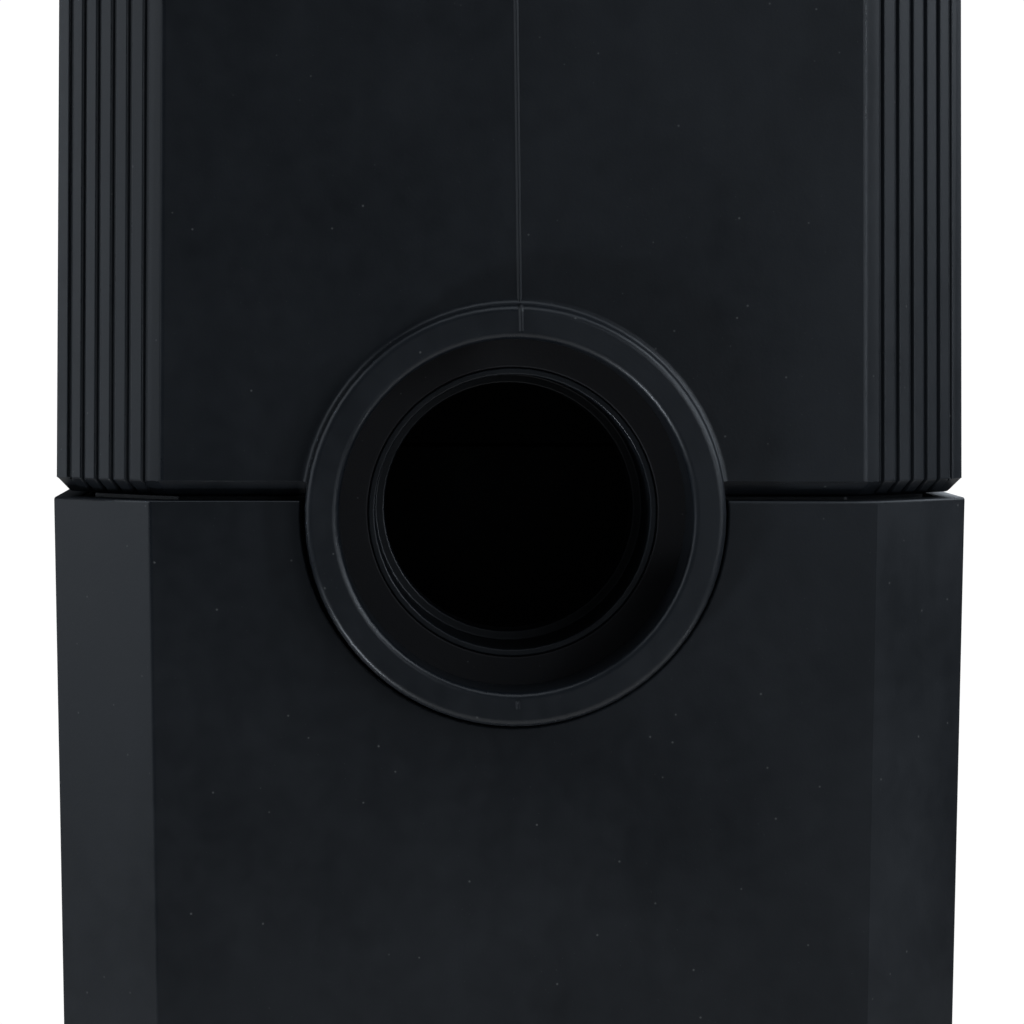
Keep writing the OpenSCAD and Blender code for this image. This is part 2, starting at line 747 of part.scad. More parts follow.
module collection_cup() color("#4a5560", 0.45) difference() {
    union() {
        cup_outline(0, cup_z, cup_top);
        cup_outline(rim_lip, cup_top - 4, cup_top - 1.5);
        translate([0, 0, cup_z - spigot_len]) cylinder(r = spigot_r, h = spigot_len + 1);
        along_y(cup_w / 2 - 1, 0, tap_z) cylinder(r = 7.5, h = 3.5);
    }
    difference() {
        cup_outline(-cup_wall, cup_z + cup_floor, cup_top + 1);
        translate([0, 0, cup_z]) cylinder(r1 = spigot_r, r2 = chimney_top_r, h = chimney_h);
    }
    translate([0, 0, cup_z - spigot_len - 1])
        cylinder(r = spigot_r - spigot_wall, h = spigot_len + 1.5);
    translate([0, 0, cup_z + 0.4])
        cylinder(r1 = spigot_r - spigot_wall, r2 = chimney_top_r - chimney_wall, h = chimney_h);
    translate([0, 0, seal_groove_z])
        tube(spigot_r + 2, spigot_r - seal_groove_depth, seal_groove_h);
    along_y(cup_w / 2 - 6, 0, tap_z) cylinder(r = 4.1, h = 12);
}

module cup_seal() color("#0c0d0e")
    translate([0, 0, seal_groove_z + 0.1])
        tube(collar_inner_r - play, spigot_r - seal_groove_depth, seal_groove_h - 0.2);

module drain_nipple() color("#1b1e21") along_y(cup_w / 2 - 2.2, 0, tap_z) difference() {
    union() {
        cylinder(r = 4.05, h = 6);
        translate([0, 0, 4.7]) cylinder(r = 6.6, h = 3.3, $fn = 6);
    }
    translate([0, 0, -eps]) cylinder(r = passage_r, h = 20);
}

// A small tap that ends in a hose barb pointing down
module drain_tap() color("#1b1e21") difference() {
    union() {
        along_y(cup_w / 2 + 5.8, 0, tap_z) cylinder(r = tap_r, h = barb_y - cup_w / 2 - 5.8);
        translate([0, barb_y, tap_z]) sphere(r = 4.4);
        translate([0, barb_y, tap_z - 5.5 - barb_len]) cylinder(r = barb_r, h = barb_len - 0.5);
        translate([0, barb_y, tap_z - 6.1]) cylinder(r = barb_r - 0.3, h = 6.1);
        translate([0, barb_y, tap_z - 5.5]) cylinder(r = 4.3, h = 4.5);
        translate([0, tap_y, tap_z]) cylinder(r = 5.1, h = 8);
    }
    along_y(cup_w / 2, 0, tap_z) cylinder(r = passage_r, h = barb_y - cup_w / 2);
    translate([0, barb_y, tap_z - 40]) cylinder(r = passage_r, h = 40.5);
    translate([0, tap_y, tap_z - 4.5]) cylinder(r = plug_r + 0.05, h = 30);
}

// The plug's passage lies across the flow until the lever is swung round
module drain_lever() color("#b3261e") {
    lever_len = 15;
    difference() {
        translate([0, tap_y, tap_z - 4.3]) cylinder(r = plug_r, h = 13);
        translate([-20, tap_y, tap_z]) rotate([0, 90, 0]) cylinder(r = passage_r, h = 40);
    }
    translate([0, tap_y, tap_z + 8.4]) {
        cylinder(r = 5.6, h = 3.4);
        translate([0, -2.5, 0]) cube([lever_len, 5, 3.4]);
        translate([lever_len, 0, 0]) cylinder(r = 2.5, h = 3.4);
    }
}

module cup_lid() color("#1b1e21") {
    room = rim_lip + 0.5;
    skirt = room + 2;
    inside_top = cup_top + lid_seal_t + 0.1;
    plate_top = inside_top + 2.2;
    skirt_w = cup_w + 2 * skirt;
    difference() {
        union() {
            cup_outline(skirt, cup_top - 8, plate_top - 1.8);
            tapered_prism(
                skirt_w, inset(cup_corner, -skirt), plate_top - 1.8 - eps,
                skirt_w - 4, plate_top
            );
            translate([0, 0, plate_top - eps]) cylinder(r1 = 17, r2 = 15, h = 10);
        }
        cup_outline(room, cup_top - 9, inside_top);
        translate([0, 0, inside_top - 1]) cylinder(r = 12.5, h = 10);
        for (i = [0 : 7])
            rotate(i * 45) translate([24, -1.5, cup_top]) cube([14, 3, 10]);
        for (i = [0 : 19])
            rotate(i * 18) translate([17.2, 0, plate_top + 0.5]) cylinder(r = 1.2, h = 12);
    }
}

module lid_seal() color("#0c0d0e") difference() {
    cup_outline(-0.2, cup_top + 0.05, cup_top + lid_seal_t);
    cup_outline(-cup_wall + 0.2, cup_top - 1, cup_top + 3);
}

lower_housing();
foot_pads();
intake_screen();
cable_gland();
cradle_mounts();
pump_cradle();
cradle_screws();
motor_housing();
motor_gland();
volute();
volute_seal();
pump_cover();
cover_screws();
rear_bush();
front_bush();
rotor_shaft();
rotor_magnet();
needle_wheel();
pump_riser();
air_pickup();
upper_housing();
housing_gasket();
riser_seal();
socket_seal();
bubble_plate();
gate_frame();
outlet_gate();
gate_spindle();
spindle_bush();
level_knob();
top_deck();
deck_gasket();
deck_screws();
air_snorkel();
air_valve_body();
silencer_shell();
silencer_foam();
air_knob();
collection_cup();
cup_seal();
drain_nipple();
drain_tap();
drain_lever();
cup_lid();
lid_seal();
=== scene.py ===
"""Looks for a square-column protein skimmer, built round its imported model.

Every piece is made in place, in metres, with Z up and the outlet socket facing -Y.
"""

import json
import math

import bmesh
import bpy
import numpy as np
from bpy.props import FloatProperty, FloatVectorProperty, IntProperty, PointerProperty
from bpy.types import Operator, Panel, PropertyGroup
from mathutils import Matrix, Vector

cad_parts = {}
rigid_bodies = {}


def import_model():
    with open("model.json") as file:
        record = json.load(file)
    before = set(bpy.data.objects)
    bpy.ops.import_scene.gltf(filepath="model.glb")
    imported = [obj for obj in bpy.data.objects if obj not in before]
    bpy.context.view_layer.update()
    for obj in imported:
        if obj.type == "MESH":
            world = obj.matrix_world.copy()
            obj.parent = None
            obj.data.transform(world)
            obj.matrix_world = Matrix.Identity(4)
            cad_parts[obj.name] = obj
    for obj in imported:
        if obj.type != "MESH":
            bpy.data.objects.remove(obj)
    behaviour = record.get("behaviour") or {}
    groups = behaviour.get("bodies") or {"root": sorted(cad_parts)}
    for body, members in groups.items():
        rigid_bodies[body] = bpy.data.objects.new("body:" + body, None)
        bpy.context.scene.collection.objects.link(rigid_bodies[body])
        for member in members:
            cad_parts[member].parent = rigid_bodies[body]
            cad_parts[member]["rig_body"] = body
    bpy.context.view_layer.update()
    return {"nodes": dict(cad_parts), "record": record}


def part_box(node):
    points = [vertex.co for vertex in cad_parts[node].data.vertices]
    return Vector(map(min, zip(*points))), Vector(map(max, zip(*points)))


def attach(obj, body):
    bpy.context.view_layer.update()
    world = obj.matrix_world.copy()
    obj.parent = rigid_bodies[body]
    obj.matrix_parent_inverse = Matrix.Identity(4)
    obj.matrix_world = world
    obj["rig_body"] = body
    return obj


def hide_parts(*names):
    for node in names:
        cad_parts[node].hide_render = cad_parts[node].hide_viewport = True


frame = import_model()

bl_info = {
    "name": "Protein Skimmer",
    "version": (1, 0, 0),
    "blender": (4, 5, 0),
    "location": "View3D > Sidebar > Skimmer",
    "description": "Builds the finished surfaces of a square-column protein skimmer",
    "category": "Object",
}

COOL = (0.88, 0.97, 1.08)  # the studio light's tint
AMBIENT = 0.042  # strength of the even light on the object
BACKDROP = 1.05  # strength of the white behind it
MERGE = 2e-6  # vertices closer than this are one
FLAT = math.radians(0.5)  # faces this nearly parallel are one face
SHARP = math.radians(24)  # edges that turn more than this are rounded
SMOOTH = math.radians(38)  # edges that turn less than this are shaded smooth
MOST_TURN = math.radians(8)  # a broad face's shading normal turns no more than this
BROAD = 1e-5  # area of a broad face
BEVEL_STEPS = 3
LEAST_RADIUS = 2e-5  # an edge with less room than this stays sharp
# The finishes lighten colour along this attribute: partly edge wear, partly a painted highlight on
# rounded edges.
WEAR_AND_SHEEN = "wear"  # attribute that is 1 along the crest of a rounded edge
PAST = 0.004  # how far the corner cutters reach past what they cut
CLEAR = 1e-5  # how far they cut below the grooves' floor
RIDGE_SUNK = 0.0002  # how deep a ridge is set into the surface under it
SUNK = 0.0003  # how deep the ribs and the parting line's end are set into the housing
RIB_TIP = 0.00025  # how far a rib's ends are drawn in
RIB_EDGE = 0.00016  # rounding of a rib's edges
RING_DEPTH = 0.018  # how far back from its mouth the ring's edges are looked for
RING_SLACK = 0.001  # how far outside the ring they may lie
SEAM_END = 0.0006  # gap between the parting line and the housing's top edge
SEAM_TICK = 0.0012  # length of the parting line's tick under the mouth
SEAM_BEND = 6  # steps in which the parting line turns over the ring's edge
THREAD_PITCH = 0.0007
GROOVE = 0.0005  # depth of the grooves round a foot


# ---- Places taken from the frame ----------------------------------------------------


def low(node):
    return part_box(node)[0]


def high(node):
    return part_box(node)[1]


def mount(name):
    """Where the record says that a mount is."""
    return Vector(next(m["pos_m"] for m in frame["record"]["mounts"] if m["name"] == name))


def body_of(node):
    return frame["nodes"][node]["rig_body"]


def slot_of(node):
    return next(p["material_slot"] for p in frame["record"]["subparts"] if p["node"] == node)


SOCKET = mount("outlet_socket")


# ---- Settings -----------------------------------------------------------------------


def size_setting(name, description, default):
    return FloatProperty(name=name, description=description, default=default, unit="LENGTH")


def colour_setting(name, description, default):
    return FloatVectorProperty(
        name=name, description=description, default=default, subtype="COLOR", size=3
    )


class HousingSettings(PropertyGroup):
    """Sizes of the moulded detail on the housings."""

    edge: size_setting("Edge radius", "Rounding of the moulded edges", 0.0004)
    ring_edge: size_setting("Ring edge radius", "Rounding of the socket ring's edges", 0.0011)
    width: size_setting("Width", "Width of the upper housing under the ribs' feet", 0.133)
    skirt_top: size_setting("Skirt top", "Height at which the ribs start", 0.17475)
    deck: size_setting("Deck", "Height of the upper housing's top edge", 0.350)
    ring_width: size_setting("Ring width", "Outer diameter of the socket ring", 0.060)
    mouth_width: size_setting("Mouth width", "Bore of the socket", 0.0503)
    seam_start: size_setting(
        "Seam start", "How far the parting line stands from the middle at the socket",
        0.00072,
    )
    chamfer: size_setting("Corner chamfer", "How far the ribbed corner cuts into each side", 0.016)
    bulge: size_setting(
        "Corner bulge", "How far the ribbed corner stands out at its middle", 0.0008
    )
    taper: size_setting("Taper", "How much narrower the upper housing is at the deck", 0.0024)
    rib_count: IntProperty(
        name="Ribs",
        description="Grip ribs on each corner",
        default=7,
        min=1,
    )
    rib_crest: size_setting("Rib crest", "Width of a rib's flat top", 0.00213)
    rib_base: size_setting("Rib base", "Width of a rib where it meets the housing", 0.00253)
    rib_height: size_setting(
        "Rib height", "How far a rib stands out of the groove's floor", 0.0005
    )
    rib_foot: size_setting("Rib foot", "How far a rib runs on down the skirt's bevel", 0.0018)
    seam_width: size_setting("Seam width", "Width of the mould's parting line", 0.0007)
    seam_height: size_setting("Seam height", "How far the parting line stands proud", 0.00024)
    seam_lean: size_setting(
        "Seam lean", "How far the parting line strays from upright over the housing's height",
        -0.00215,
    )


class FinishSettings(PropertyGroup):
    """Colours of the finishes."""

    housing: colour_setting(
        "Housings", "Satin plastic of the housings, the deck and the knobs",
        (0.0078, 0.0097, 0.0124),
    )
    pump: colour_setting(
        "Pump plastic", "Dark grey plastic of the pump and the inner parts",
        (0.034, 0.036, 0.040),
    )
    rubber: colour_setting("Rubber", "Seals, grommets and feet", (0.0056, 0.0052, 0.0062))
    smoke: colour_setting("Smoked acrylic", "Tint of the clear cup", (0.80, 0.85, 0.88))
    lever: colour_setting("Lever", "Plastic of the drain lever", (0.42, 0.016, 0.012))


class StageSettings(PropertyGroup):
    """Camera, floor and lights."""

    camera_place: FloatVectorProperty(
        name="Camera place",
        description="Where the camera stands",
        default=(-0.0221, -0.6916, 0.1968),
        unit="LENGTH",
        size=3,
    )
    camera_turn: FloatVectorProperty(
        name="Camera turn",
        description="Pitch, roll and yaw away from a level look along +Y",
        default=(math.radians(-2.42), math.radians(0.12), math.radians(-1.99)),
        subtype="EULER",
        size=3,
    )
    lens: FloatProperty(
        name="Lens",
        description="Focal length in millimetres",
        default=153.7,
    )
    floor_radius: size_setting("Floor radius", "Where the floor has faded out", 0.56)


# ---- Node trees ---------------------------------------------------------------------


class Wire:
    """A node's output that arithmetic can be written with."""

    def __init__(self, maker, socket):
        self.maker = maker
        self.socket = socket

    def math(self, operation, *values):
        return self.maker.add("ShaderNodeMath", {"operation": operation}, values)

    def __add__(self, other):
        return self.math("ADD", self, other)

    def __radd__(self, other):
        return self.math("ADD", other, self)

    def __sub__(self, other):
        return self.math("SUBTRACT", self, other)

    def __rsub__(self, other):
        return self.math("SUBTRACT", other, self)

    def __mul__(self, other):
        return self.math("MULTIPLY", self, other)

    def __rmul__(self, other):
        return self.math("MULTIPLY", other, self)

    def __truediv__(self, other):
        return self.math("DIVIDE", self, other)


class Maker:
    """Adds nodes to one shader or geometry tree."""

    def __init__(self, tree):
        self.tree = tree

    def add(self, kind, settings=None, inputs=(), output=0):
        """A node of this kind: its settings first, then its sockets' values or wires."""
        node = self.tree.nodes.new(kind)
        for key, value in (settings or {}).items():
            setattr(node, key, value)
        pairs = inputs.items() if isinstance(inputs, dict) else enumerate(inputs)
        for key, value in pairs:
            if isinstance(value, Wire):
                self.tree.links.new(value.socket, node.inputs[key])
            else:
                node.inputs[key].default_value = value
        return Wire(self, node.outputs[output])

    def also(self, wire, output):
        """Another output of the node that a wire comes from."""
        return Wire(self, wire.socket.node.outputs[output])

    def noise(self, place, scale, detail=3.0, rough=0.5):
        """Noise from 0 to 1 with this many features to the metre."""
        inputs = {"Vector": place, "Scale": scale, "Detail": detail, "Roughness": rough}
        return self.add("ShaderNodeTexNoise", {}, inputs)

    def stretched(self, place, x, y, z):
        """Coordinates in which a pattern is drawn out along an axis."""
        return self.add("ShaderNodeMapping", {}, {"Vector": place, "Scale": (x, y, z)})

    def step(self, value, start, end):
        """0 below start and 1 above end, with a soft change between them."""
        settings = {"interpolation_type": "SMOOTHSTEP"}
        inputs = {"Value": value, "From Min": start, "From Max": end}
        return self.add("ShaderNodeMapRange", settings, inputs)

    def mix(self, factor, first, second):
        """Colour first where factor is 0, second where it is 1."""
        settings = {"data_type": "RGBA"}
        return self.add("ShaderNodeMix", settings, {0: factor, 6: first, 7: second}, 2)

    def scale(self, colour, factor):
        settings = {"operation": "SCALE"}
        return self.add("ShaderNodeVectorMath", settings, {0: colour, "Scale": factor})

    def larger(self, first, second):
        return self.add("ShaderNodeMath", {"operation": "MAXIMUM"}, (first, second))

    def end(self, wire):
        """Joins a wire to a geometry tree's own output."""
        node = self.tree.nodes.new("NodeGroupOutput")
        self.tree.links.new(wire.socket, node.inputs[0])


def rgba(colour):
    return (*colour, 1.0)


def shader_tree(name, metallic=0.0, ior=1.5):
    """A new material with a Principled shader: the material, its maker and the shader."""
    material = bpy.data.materials.new(name)
    material.use_nodes = True
    tree = material.node_tree
    shader = tree.nodes["Principled BSDF"]
    shader.inputs["Metallic"].default_value = metallic
    shader.inputs["IOR"].default_value = ior
    return material, Maker(tree), shader


def feed(maker, shader, **wires):
    """Joins wires to the shader's sockets, such as base_color=wire."""
    for key, wire in wires.items():
        maker.tree.links.new(wire.socket, shader.inputs[key.replace("_", " ").title()])


def bump(maker, height, strength, distance):
    inputs = {"Strength": strength, "Distance": distance, "Height": height}
    return maker.add("ShaderNodeBump", {}, inputs)


# The rounded-edge attribute, which the finishes use to paint edges lighter as wear and as a painted
# highlight.
def wear_and_sheen_of(maker):
    return maker.add("ShaderNodeAttribute", {"attribute_name": WEAR_AND_SHEEN}, output="Fac")


def dust_of(maker, place, per_metre, size):
    """1 in scattered specks of dust, size being a share of the gap between them."""
    settings = {"feature": "F1"}
    cell = maker.add("ShaderNodeTexVoronoi", settings, {"Vector": place, "Scale": per_metre})
    return 1.0 - maker.step(cell, size * 0.45, size)


# ---- Finishes -----------------------------------------------------------------------


def satin_plastic(name, colour, roughness, dust):
    """Moulded plastic: slow mottling, a fine eroded grain, dust and polished edges whose lighter
    colour is partly wear and partly a painted highlight.
    """
    material, maker, shader = shader_tree(name, ior=1.5)
    place = maker.add("ShaderNodeTexCoord", output="Object")
    cloud = maker.noise(place, 38, 4)
    flow = maker.noise(maker.stretched(place, 1, 1, 0.18), 160, 3)
    mottle = maker.noise(place, 330, 3)
    grain = maker.noise(place, 2300, 2, 0.6)
    # Rounded edges are painted lighter and glossier: partly edge wear, partly a painted highlight.
    wear = wear_and_sheen_of(maker) * maker.noise(place, 420, 3)
    specks = maker.larger(
        dust_of(maker, place, 270, 0.055), dust_of(maker, place, 620, 0.05) * 0.6
    )
    tone = 0.35 + 0.7 * cloud + 0.2 * flow + 0.35 * mottle + 0.2 * grain + 0.5 * wear
    base = maker.mix(specks * dust, maker.scale(colour, tone), (0.16, 0.16, 0.155, 1))
    rough = roughness - 0.18 + 0.22 * cloud + 0.08 * flow + 0.1 * mottle
    rough = rough - 0.2 * wear + 0.25 * specks
    height = grain * 0.8 + mottle + flow * 0.5 + cloud * 0.7
    feed(maker, shader, base_color=base, roughness=rough, normal=bump(maker, height, 0.22, 0.00006))
    return material


def rubber_finish(name, colour):
    """Matt rubber with bloom and dust in patches."""
    material, maker, shader = shader_tree(name, ior=1.45)
    place = maker.add("ShaderNodeTexCoord", output="Object")
    patch = maker.noise(place, 70, 4)
    grain = maker.noise(place, 3200, 2)
    specks = dust_of(maker, place, 420, 0.07)
    # Rounded edges are painted lighter: partly edge wear, partly a painted highlight.
    tone = 0.8 + 0.5 * patch + 0.5 * wear_and_sheen_of(maker)
    base = maker.mix(specks * 0.5, maker.scale(colour, tone), (0.12, 0.12, 0.12, 1))
    rough = 0.62 + 0.22 * patch
    feed(maker, shader, base_color=base, roughness=rough, normal=bump(maker, grain, 0.3, 0.00005))
    return material


def steel_finish(name):
    """Turned stainless steel with fine rings and dull patches."""
    material, maker, shader = shader_tree(name, metallic=1.0)
    place = maker.add("ShaderNodeTexCoord", output="Object")
    patch = maker.noise(place, 300, 3)
    lines = maker.noise(maker.stretched(place, 0.12, 0.12, 1), 5200, 2)
    base = maker.scale((0.60, 0.60, 0.585), 0.82 + 0.2 * patch + 0.12 * lines)
    rough = 0.2 + 0.2 * patch + 0.12 * lines
    feed(maker, shader, base_color=base, roughness=rough, normal=bump(maker, lines, 0.15, 0.00003))
    return material


def gloss_finish(name, colour, roughness, mottle):
    """Glossy or polished moulding with slight ripples."""
    material, maker, shader = shader_tree(name, ior=1.52)
    place = maker.add("ShaderNodeTexCoord", output="Object")
    ripple = maker.noise(place, 120, 3)
    fine = maker.noise(place, 1500, 2)
    # Rounded edges are painted slightly lighter: partly edge wear, partly a painted highlight.
    tone = 1 - mottle + 2 * mottle * ripple + 0.2 * wear_and_sheen_of(maker)
    base = maker.scale(colour, tone)
    rough = roughness + 0.12 * ripple + 0.05 * fine
    height = ripple + 0.3 * fine
    feed(maker, shader, base_color=base, roughness=rough, normal=bump(maker, height, 0.18, 0.0001))
    return material


def foam_finish(name):
    """Open-cell foam: pores painted dark as shade between pale walls."""
    material, maker, shader = shader_tree(name)
    place = maker.add("ShaderNodeTexCoord", output="Object")
    settings = {"feature": "DISTANCE_TO_EDGE"}
    cell = maker.add("ShaderNodeTexVoronoi", settings, {"Vector": place, "Scale": 1100.0})
    shaded_pore = maker.step(cell, 0.02, 0.3)
    # Painted shade: the pores' base colour is darkened; the roughness and bump follow the same
    # pores.
    base = maker.scale((0.075, 0.078, 0.082), 1.25 - shaded_pore)
    rough = 0.8 + 0.15 * shaded_pore
    feed(maker, shader, base_color=base, roughness=rough, normal=bump(maker, 1 - shaded_pore, 0.9, 0.0004))
    return material


def smoked_acrylic(name, colour):
    """Clear tinted acrylic, hazed by fine wipe marks and a dried film low in the cup."""
    material, maker, shader = shader_tree(name, ior=1.49)
    shader.inputs["Transmission Weight"].default_value = 1.0
    place = maker.add("ShaderNodeTexCoord", output="Object")
    wipe = maker.noise(maker.stretched(place, 0.2, 0.2, 1), 900, 3)
    blotch = maker.noise(place, 85, 5, 0.65)
    height = maker.also(maker.add("ShaderNodeSeparateXYZ", {}, [place]), 2)
    level = low("collection_cup").z + 0.05
    film = maker.step(blotch - (height - level) * 12, 0.42, 0.85)
    base = maker.mix(film * 0.4, rgba(colour), (0.50, 0.46, 0.36, 1))
    rough = 0.03 + 0.05 * wipe + 0.3 * film
    feed(maker, shader, base_color=base, roughness=rough, normal=bump(maker, wipe, 0.06, 0.00004))
    return material


def make_finishes(finish):
    """One material for each slot of the record."""
    return {
        "housing": satin_plastic("housing", finish.housing, 0.38, 0.5),
        "pump_plastic": satin_plastic("pump_plastic", finish.pump, 0.46, 0.3),
        "rubber": rubber_finish("rubber", finish.rubber),
        "potting": gloss_finish("potting", (0.012, 0.012, 0.014), 0.28, 0.15),
        "steel": steel_finish("steel"),
        "ceramic": gloss_finish("ceramic", (0.80, 0.79, 0.74), 0.12, 0.04),
        "bush": gloss_finish("bush", (0.72, 0.67, 0.52), 0.42, 0.06),
        "magnet": gloss_finish("magnet", (0.055, 0.058, 0.062), 0.33, 0.1),
        "white_plastic": gloss_finish("white_plastic", (0.76, 0.76, 0.72), 0.30, 0.05),
        "foam": foam_finish("foam"),
        "clear_smoke": smoked_acrylic("clear_smoke", finish.smoke),
        "red_plastic": gloss_finish("red_plastic", finish.lever, 0.26, 0.08),
    }


FINISHES = {}


def finish_for(slot):
    if not FINISHES:
        FINISHES.update(make_finishes(bpy.context.scene.skimmer_finish))
    return FINISHES[slot]


# ---- Mesh work ----------------------------------------------------------------------


def as_object(name, mesh):
    obj = bpy.data.objects.new(name, mesh)
    bpy.context.scene.collection.objects.link(obj)
    return obj


def mesh_from(name, bm):
    """The bmesh as an object of this name. The bmesh is freed."""
    mesh = bpy.data.meshes.new(name)
    bm.to_mesh(mesh)
    bm.free()
    return as_object(name, mesh)


def settle(obj):
    """Turns an object with modifiers into a plain mesh under the same name."""
    depsgraph = bpy.context.evaluated_depsgraph_get()
    mesh = bpy.data.meshes.new_from_object(obj.evaluated_get(depsgraph))
    mesh.name = obj.name
    obj.modifiers.clear()
    obj.data = mesh
    return obj


def remove(*objects):
    for obj in objects:
        bpy.data.objects.remove(obj)


def closed_copy(node):
    """A CAD node's surface as one closed bmesh, with its flat faces whole."""
    bm = bmesh.new()
    bm.from_mesh(frame["nodes"][node].data)
    bmesh.ops.remove_doubles(bm, verts=bm.verts, dist=MERGE)
    bmesh.ops.dissolve_limit(
        bm, angle_limit=FLAT, verts=bm.verts, edges=bm.edges, use_dissolve_boundaries=False
    )
    return bm


def face_widths(face):
    """For each edge of a flat face, how far the face reaches inwards from its middle."""
    normal = face.normal
    side = normal.orthogonal().normalized()
    up = normal.cross(side)
    corners = [loop.vert.co for loop in face.loops]
    start = np.array([(c.dot(side), c.dot(up)) for c in corners])
    span = np.roll(start, -1, axis=0) - start
    length = np.maximum(np.linalg.norm(span, axis=1), 1e-12)
    inward = np.stack([-span[:, 1], span[:, 0]], axis=1) / length[:, None]
    middle = start + span / 2
    gap = start[None] - middle[:, None]
    turn = inward[:, None, 0] * span[None, :, 1] - inward[:, None, 1] * span[None, :, 0]
    turn = np.where(np.abs(turn) < 1e-15, np.nan, turn)
    reach = (gap[..., 0] * span[None, :, 1] - gap[..., 1] * span[None, :, 0]) / turn
    share = (gap[..., 0] * inward[:, None, 1] - gap[..., 1] * inward[:, None, 0]) / turn
    hit = (reach > 1e-9) & (share > -0.01) & (share < 1.01)
    np.fill_diagonal(hit, False)
    return np.where(hit, reach, 1.0).min(axis=1)


def chains(sharp):
    """Groups of sharp edges that run on into each other without a corner."""
    left = set(sharp)
    while left:
        found, front = [], [left.pop()]
        while front:
            edge = front.pop()
            found.append(edge)
            for vert in edge.verts:
                others = [e for e in vert.link_edges if e in sharp and e is not edge]
                if len(others) != 1 or others[0] not in left:
                    continue
                here = (edge.other_vert(vert).co - vert.co).normalized()
                there = (others[0].other_vert(vert).co - vert.co).normalized()
                if here.dot(there) < -0.8:
                    left.remove(others[0])
                    front.append(others[0])
        yield found


def round_edges(obj, radius, radius_at=None):
    """Rounds the sharp edges. radius_at gives a radius from an edge's middle."""
    mesh = obj.data
    bm = bmesh.new()
    bm.from_mesh(mesh)
    weights = bm.edges.layers.float.new("bevel_weight_edge")
    sharp = {e: 1.0 for e in bm.edges if e.is_manifold and e.calc_face_angle(0) > SHARP}
    for face in {f for e in sharp for f in e.link_faces}:
        for loop, width in zip(face.loops, face_widths(face)):
            if loop.edge in sharp:
                sharp[loop.edge] = min(sharp[loop.edge], width * 0.45)
    radii = {}
    for chain in chains(sharp):
        room = min(sharp[edge] for edge in chain)
        for edge in chain:
            middle = (edge.verts[0].co + edge.verts[1].co) / 2
            wanted = radius_at(middle) if radius_at else radius
            radii[edge] = min(wanted, room)
    widest = max([radius, *radii.values()])
    for edge, own in radii.items():
        edge[weights] = own / widest if own > LEAST_RADIUS else 0
    bm.to_mesh(mesh)
    bm.free()
    while len(mesh.materials) < 2:
        mesh.materials.append(None)
    bevel = obj.modifiers.new("edges", "BEVEL")
    bevel.limit_method = "WEIGHT"
    bevel.width = widest
    bevel.segments = BEVEL_STEPS
    bevel.use_clamp_overlap = False
    bevel.material = 1
    settle(obj)
    note_wear_and_sheen(obj.data)
    return obj


def note_wear_and_sheen(mesh):
    """Marks the vertices that lie wholly on rounded edges, then drops the marking slot."""
    on_edge = np.ones(len(mesh.vertices), np.float32)
    for polygon in mesh.polygons:
        if polygon.material_index != 1:
            on_edge[list(polygon.vertices)] = 0
        polygon.material_index = 0
    layer = mesh.attributes.new(WEAR_AND_SHEEN, "FLOAT", "POINT")
    layer.data.foreach_set("value", on_edge)
    mesh.materials.clear()


def shade(obj):
    """Smooth shading that keeps broad faces flat up to their rounded edges."""
    mesh = obj.data
    mesh.shade_smooth()
    mesh.set_sharp_from_angle(angle=SMOOTH)
    weighted = obj.modifiers.new("normals", "WEIGHTED_NORMAL")
    weighted.keep_sharp = True
    weighted.weight = 80
    settle(obj)
    keep_flat(obj.data)
    return obj


def keep_flat(mesh):
    """Gives a broad face its own normal at corners where a rounded edge runs out."""
    corners = np.empty((len(mesh.loops), 3), np.float32)
    faces = np.empty((len(mesh.polygons), 3), np.float32)
    areas = np.empty(len(mesh.polygons), np.float32)
    counts = np.empty(len(mesh.polygons), np.int32)
    mesh.corner_normals.foreach_get("vector", corners.ravel())
    mesh.polygons.foreach_get("normal", faces.ravel())
    mesh.polygons.foreach_get("area", areas)
    mesh.polygons.foreach_get("loop_total", counts)
    own = np.repeat(faces, counts, axis=0)
    turned = (corners * own).sum(axis=1) < math.cos(MOST_TURN)
    turned &= np.repeat(areas, counts) > BROAD
    if turned.any():
        corners[turned] = own[turned]
        mesh.normals_split_custom_set(corners)


def present(obj, slot, body, *nodes):
    """Gives a finished piece its finish, its body and the nodes that it stands for."""
    obj.data.materials.clear()
    obj.data.materials.append(finish_for(slot))
    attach(obj, body)
    if nodes:
        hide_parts(*nodes)
    return obj


def rounded_piece(node, radius, radius_at=None):
    """A CAD node's copy with its edges rounded, standing for the node."""
    obj = mesh_from(node + "_moulding", closed_copy(node))
    round_edges(obj, radius, radius_at)
    shade(obj)
    return present(obj, slot_of(node), body_of(node), node)


def lathe(name, outline, steps=64):
    """A solid of revolution about Z from (radius, height) points, closed on the axis."""
    bm = bmesh.new()
    rings = []
    for radius, height in outline:
        if radius < 1e-7:
            rings.append([bm.verts.new((0, 0, height))])
            continue
        turns = [2 * math.pi * i / steps for i in range(steps)]
        ring = [(radius * math.cos(a), radius * math.sin(a), height) for a in turns]
        rings.append([bm.verts.new(point) for point in ring])
    for lower, upper in zip(rings, rings[1:]):
        for i in range(steps):
            j = (i + 1) % steps
            around = [row[k % len(row)] for row, k in
                      ((lower, i), (lower, j), (upper, j), (upper, i))]
            face = list(dict.fromkeys(around))
            if len(face) > 2:
                bm.faces.new(face)
    bmesh.ops.recalc_face_normals(bm, faces=bm.faces)
    return mesh_from(name, bm)


